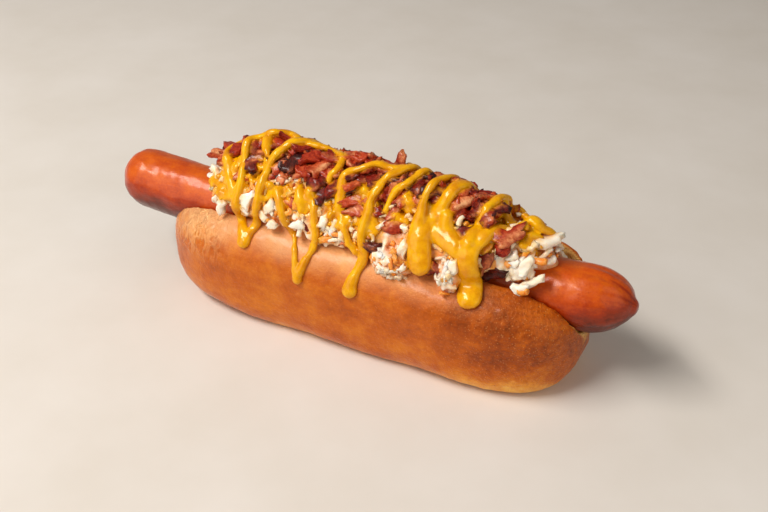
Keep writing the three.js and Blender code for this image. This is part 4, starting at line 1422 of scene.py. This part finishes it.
def smoothed(values, window):
    """A running average over rows, which keeps the ends in place."""
    kernel = np.hanning(2 * window + 3)[1:-1]
    kernel = kernel / kernel.sum()
    padded = np.vstack([np.repeat(values[:1], window, 0), values, np.repeat(values[-1:], window, 0)])
    return np.stack([np.convolve(column, kernel, "valid") for column in padded.T], 1)


def flatness(halves):
    """A strand's height as a share of its width: thin ones stay round, wide flows spread."""
    return np.interp(halves, THIN_AND_WIDE, [THIN_FLATNESS, WIDE_FLATNESS])


def draped(points, outs, halves, under):
    """Moves a strand's middle line along its outward directions until it lies on what is under it."""
    lifts = []
    for point, out in zip(points, outs):
        hit = under.ray_cast(Vector(point + out * LOOK_FROM), Vector(-out), LOOK_FROM + LOOK_BELOW)
        lifts.append(LOOK_FROM - hit[3] if hit[0] else np.nan)
    lifts = np.array(lifts)
    known = ~np.isnan(lifts)
    index = np.arange(len(lifts))
    lifts = np.interp(index, index[known], lifts[known]) if known.any() else np.zeros(len(lifts))
    high = np.array([lifts[max(0, i - 2):i + 3].max() for i in index])
    lifts = lifts + STIFFNESS * (high - lifts)
    lifts = smoothed(lifts[:, None], LIFT_WINDOW)[:, 0]
    return points + outs * (lifts + BEDDING * flatness(halves) * halves)[:, None]


def tube(points, outs, halves):
    """A flattened tube with round ends along a line."""
    tangents = unit(np.gradient(points, axis=0))
    across = unit(np.cross(outs, tangents))
    up = np.cross(tangents, across)
    ends = [(-0.98, 0.2), (-0.8, 0.6), (-0.45, 0.89)]
    rings = [(points[0] + tangents[0] * halves[0] * s, k * halves[0], 0) for s, k in ends]
    rings += [(p, h, i) for i, (p, h) in enumerate(zip(points, halves))]
    rings += [(points[-1] - tangents[-1] * halves[-1] * s, k * halves[-1], -1) for s, k in ends[::-1]]
    turn = 2 * np.pi * np.arange(TUBE_SIDES) / TUBE_SIDES
    flat = flatness(halves)
    verts = [
        centre + half * (np.outer(np.sin(turn), across[i]) + flat[i] * np.outer(np.cos(turn), up[i]))
        for centre, half, i in rings
    ]
    verts = np.concatenate(verts)
    return verts, outward(verts, tube_faces(len(rings), TUBE_SIDES))


def strand(heap_rows, wall_rows, side, under, seed):
    """One strand that comes up out of the heap, runs over it and on down a wall of the bun."""
    places = [(*heap_place(x, degrees), half) for x, degrees, half in heap_rows]
    places += [(*bun_wall(x, height, side), half) for x, height, half in wall_rows]
    line = curve_points([(*point, *normal, half) for point, normal, half in places])
    points, outs, halves = line[:, :3], line[:, 3:6], line[:, 6]
    outs = unit(smoothed(outs, OUT_WINDOW))
    uneven = 0.34 * noise_at(points, 5, seed) + 0.2 * noise_at(points, 2.2, seed + 0.5)
    halves = halves * (1.04 + uneven / np.maximum(1, (halves / 1.6) ** 2))
    window = WIDE_WINDOW if halves.max() > WIDE_FLOW else LINE_WINDOW
    line = smoothed(draped(points, outs, halves, under), window)
    sunk = START_SINK * smoothstep(START_LENGTH, 0, np.linalg.norm(points - points[0], axis=1))
    return tube(line - outs * sunk[:, None], outs, halves)


def open_edges(faces):
    """The edges that only one face has, in the order of that face's corners."""
    found = {}
    for face in faces:
        for a, b in zip(face, face[1:] + face[:1]):
            if (b, a) in found:
                del found[(b, a)]
            else:
                found[(a, b)] = True
    return list(found)


def film(piece):
    """Thin closed sheets of mustard over the parts of a piece where it has spread."""
    verts = positions(piece)
    share = spread(verts)
    out = normals(piece)
    wet = share > FILM_FROM
    faces = [tuple(p.vertices) for p in piece.data.polygons if all(wet[i] for i in p.vertices)]
    used = sorted({i for face in faces for i in face})
    index = {old: new for new, old in enumerate(used)}
    count = len(used)
    top = verts[used] + out[used] * smoothstep(0.2, 0.95, share[used])[:, None]
    bottom = verts[used] - out[used] * FILM_SINK
    upper = [tuple(index[i] for i in face) for face in faces]
    lower = [tuple(i + count for i in face[::-1]) for face in upper]
    sides = [(b, a, a + count, b + count) for a, b in open_edges(upper)]
    return np.vstack([top, bottom]), upper + lower + sides


def mustard(under, wetted):
    """All the mustard in one skin, laid over the heap and down the bun's walls."""
    parts = [strand(*rows, NEAR, under, NEAR_SEED + i) for i, rows in enumerate(NEAR_STRANDS)]
    parts += [strand(*rows, FAR, under, FAR_SEED + i) for i, rows in enumerate(FAR_STRANDS)]
    parts += [film(piece) for piece in wetted]
    obj = remeshed(mesh_object("mustard", *merged(parts)), MUSTARD_VOXEL, smoothing=4)
    verts = positions(obj)
    push_out(obj, verts, 0.2 * noise_at(verts, 3.2, 40) + 0.12)
    obj.data.materials.append(mustard_material())
    return dressed(obj, "mustard", "bun", "slaw_heap", "bacon_topping")


def stained(obj, mustard_tree, reach, soaked):
    """Paints how much mustard clings: near the strands and, by the share soaked, where it has spread."""
    verts = positions(obj)
    found = [mustard_tree.find_nearest(Vector(p), reach)[3] for p in verts]
    near = np.array([reach if distance is None else distance for distance in found])
    stain = smoothstep(reach, 0.2, near) * (0.75 + 0.5 * noise_at(verts, 2.5, 60))
    paint(obj, "stain", np.clip(np.maximum(stain, soaked * spread(verts)), 0, 1))


def surface_tree(*objects):
    """All the objects' faces in one search tree, in millimetres."""
    parts = [(positions(obj), [tuple(p.vertices) for p in obj.data.polygons]) for obj in objects]
    return search_tree(*merged(parts))


# ---------------------------------------------------------------- stage


CAMERA_PLACE = (0.1743, -0.3148, 0.2603)
CAMERA_TARGET = (0.0132, 0, 0.0306)
CAMERA_LENS_MM = 50
CAMERA_SENSOR_MM = 36

# All lights aim at the middle of the food. Each has a place, length and width in metres, watts and colour.
LIGHT_TARGET = (0, 0, 0.04)
LIGHTS = {
    "strip": ((-0.42, -0.42, 0.86), 0.75, 0.2, 9.5, (1.0, 0.985, 0.96)),
    "front_left": ((-0.6, -0.9, 0.5), 0.8, 0.8, 3.4, (1.0, 0.98, 0.95)),
    "right": ((0.75, -0.3, 0.4), 0.8, 0.8, 1.7, (1.0, 0.96, 0.9)),
}
SKY_COLOUR = (1.0, 0.985, 0.96, 1.0)
SKY_STRENGTH = 0.2
FLOOR_HALF = 1500


def added(name, data, place, target):
    """A camera or light in the scene, aimed from its place at a target."""
    obj = bpy.data.objects.new(name, data)
    obj.location = place
    obj.rotation_euler = (Vector(target) - Vector(place)).to_track_quat("-Z", "Y").to_euler()
    bpy.context.scene.collection.objects.link(obj)
    return obj


def add_camera():
    data = bpy.data.cameras.new("camera")
    data.lens = CAMERA_LENS_MM
    data.sensor_width = CAMERA_SENSOR_MM
    bpy.context.scene.camera = added("camera", data, CAMERA_PLACE, CAMERA_TARGET)


def add_light(name, place, length, width, power, colour):
    """A soft light with its length level and across its aim."""
    data = bpy.data.lights.new(name, "AREA")
    data.shape = "RECTANGLE"
    data.size = length
    data.size_y = width
    data.energy = power
    data.color = colour
    added(name, data, place, LIGHT_TARGET)


def add_stage():
    """The floor, the lights and the sky."""
    corners = [(x * FLOOR_HALF, y * FLOOR_HALF, 0) for x, y in ((-1, -1), (1, -1), (1, 1), (-1, 1))]
    floor = mesh_object("floor", corners, [(0, 1, 2, 3)], floor_material())
    for name, settings in LIGHTS.items():
        add_light(name, *settings)
    world = bpy.data.worlds.new("world")
    world.use_nodes = True
    sky = world.node_tree.nodes["Background"]
    sky.inputs["Color"].default_value = SKY_COLOUR
    sky.inputs["Strength"].default_value = SKY_STRENGTH
    bpy.context.scene.world = world
    bpy.context.scene.view_settings.view_transform = "Standard"


add_camera()
add_stage()
loaf = bun()
sausage()
slaw_pieces = [
    dressed_slaw(),
    loose_shreds("slaw_cabbage", CABBAGE_SEED, CABBAGE, LOOSE_CABBAGE, 0.5, 1.7, KEY_CABBAGE),
    loose_shreds("slaw_carrot", CARROT_SEED, CARROT, LOOSE_CARROTS, 0.6, 1.8, KEY_CARROTS),
]
bacon_pieces = [bacon_bed(), bacon_bits()]
packed_slaw, packed_bacon = slaw_pieces[0], bacon_pieces[0]
mound_tree = search_tree(*slaw_mound())
for piece in slaw_pieces:
    paint_hollows(piece, mound_tree)
drizzle = surface_tree(mustard(surface_tree(loaf, *slaw_pieces, *bacon_pieces), [packed_slaw, packed_bacon]))
stained(packed_slaw, drizzle, reach=2.6, soaked=0.9)
for piece in slaw_pieces[1:]:
    stained(piece, drizzle, reach=1.4, soaked=0.45)
stained(packed_bacon, drizzle, reach=1.0, soaked=0.9)
for piece in bacon_pieces[1:]:
    stained(piece, drizzle, reach=0.7, soaked=0.0)
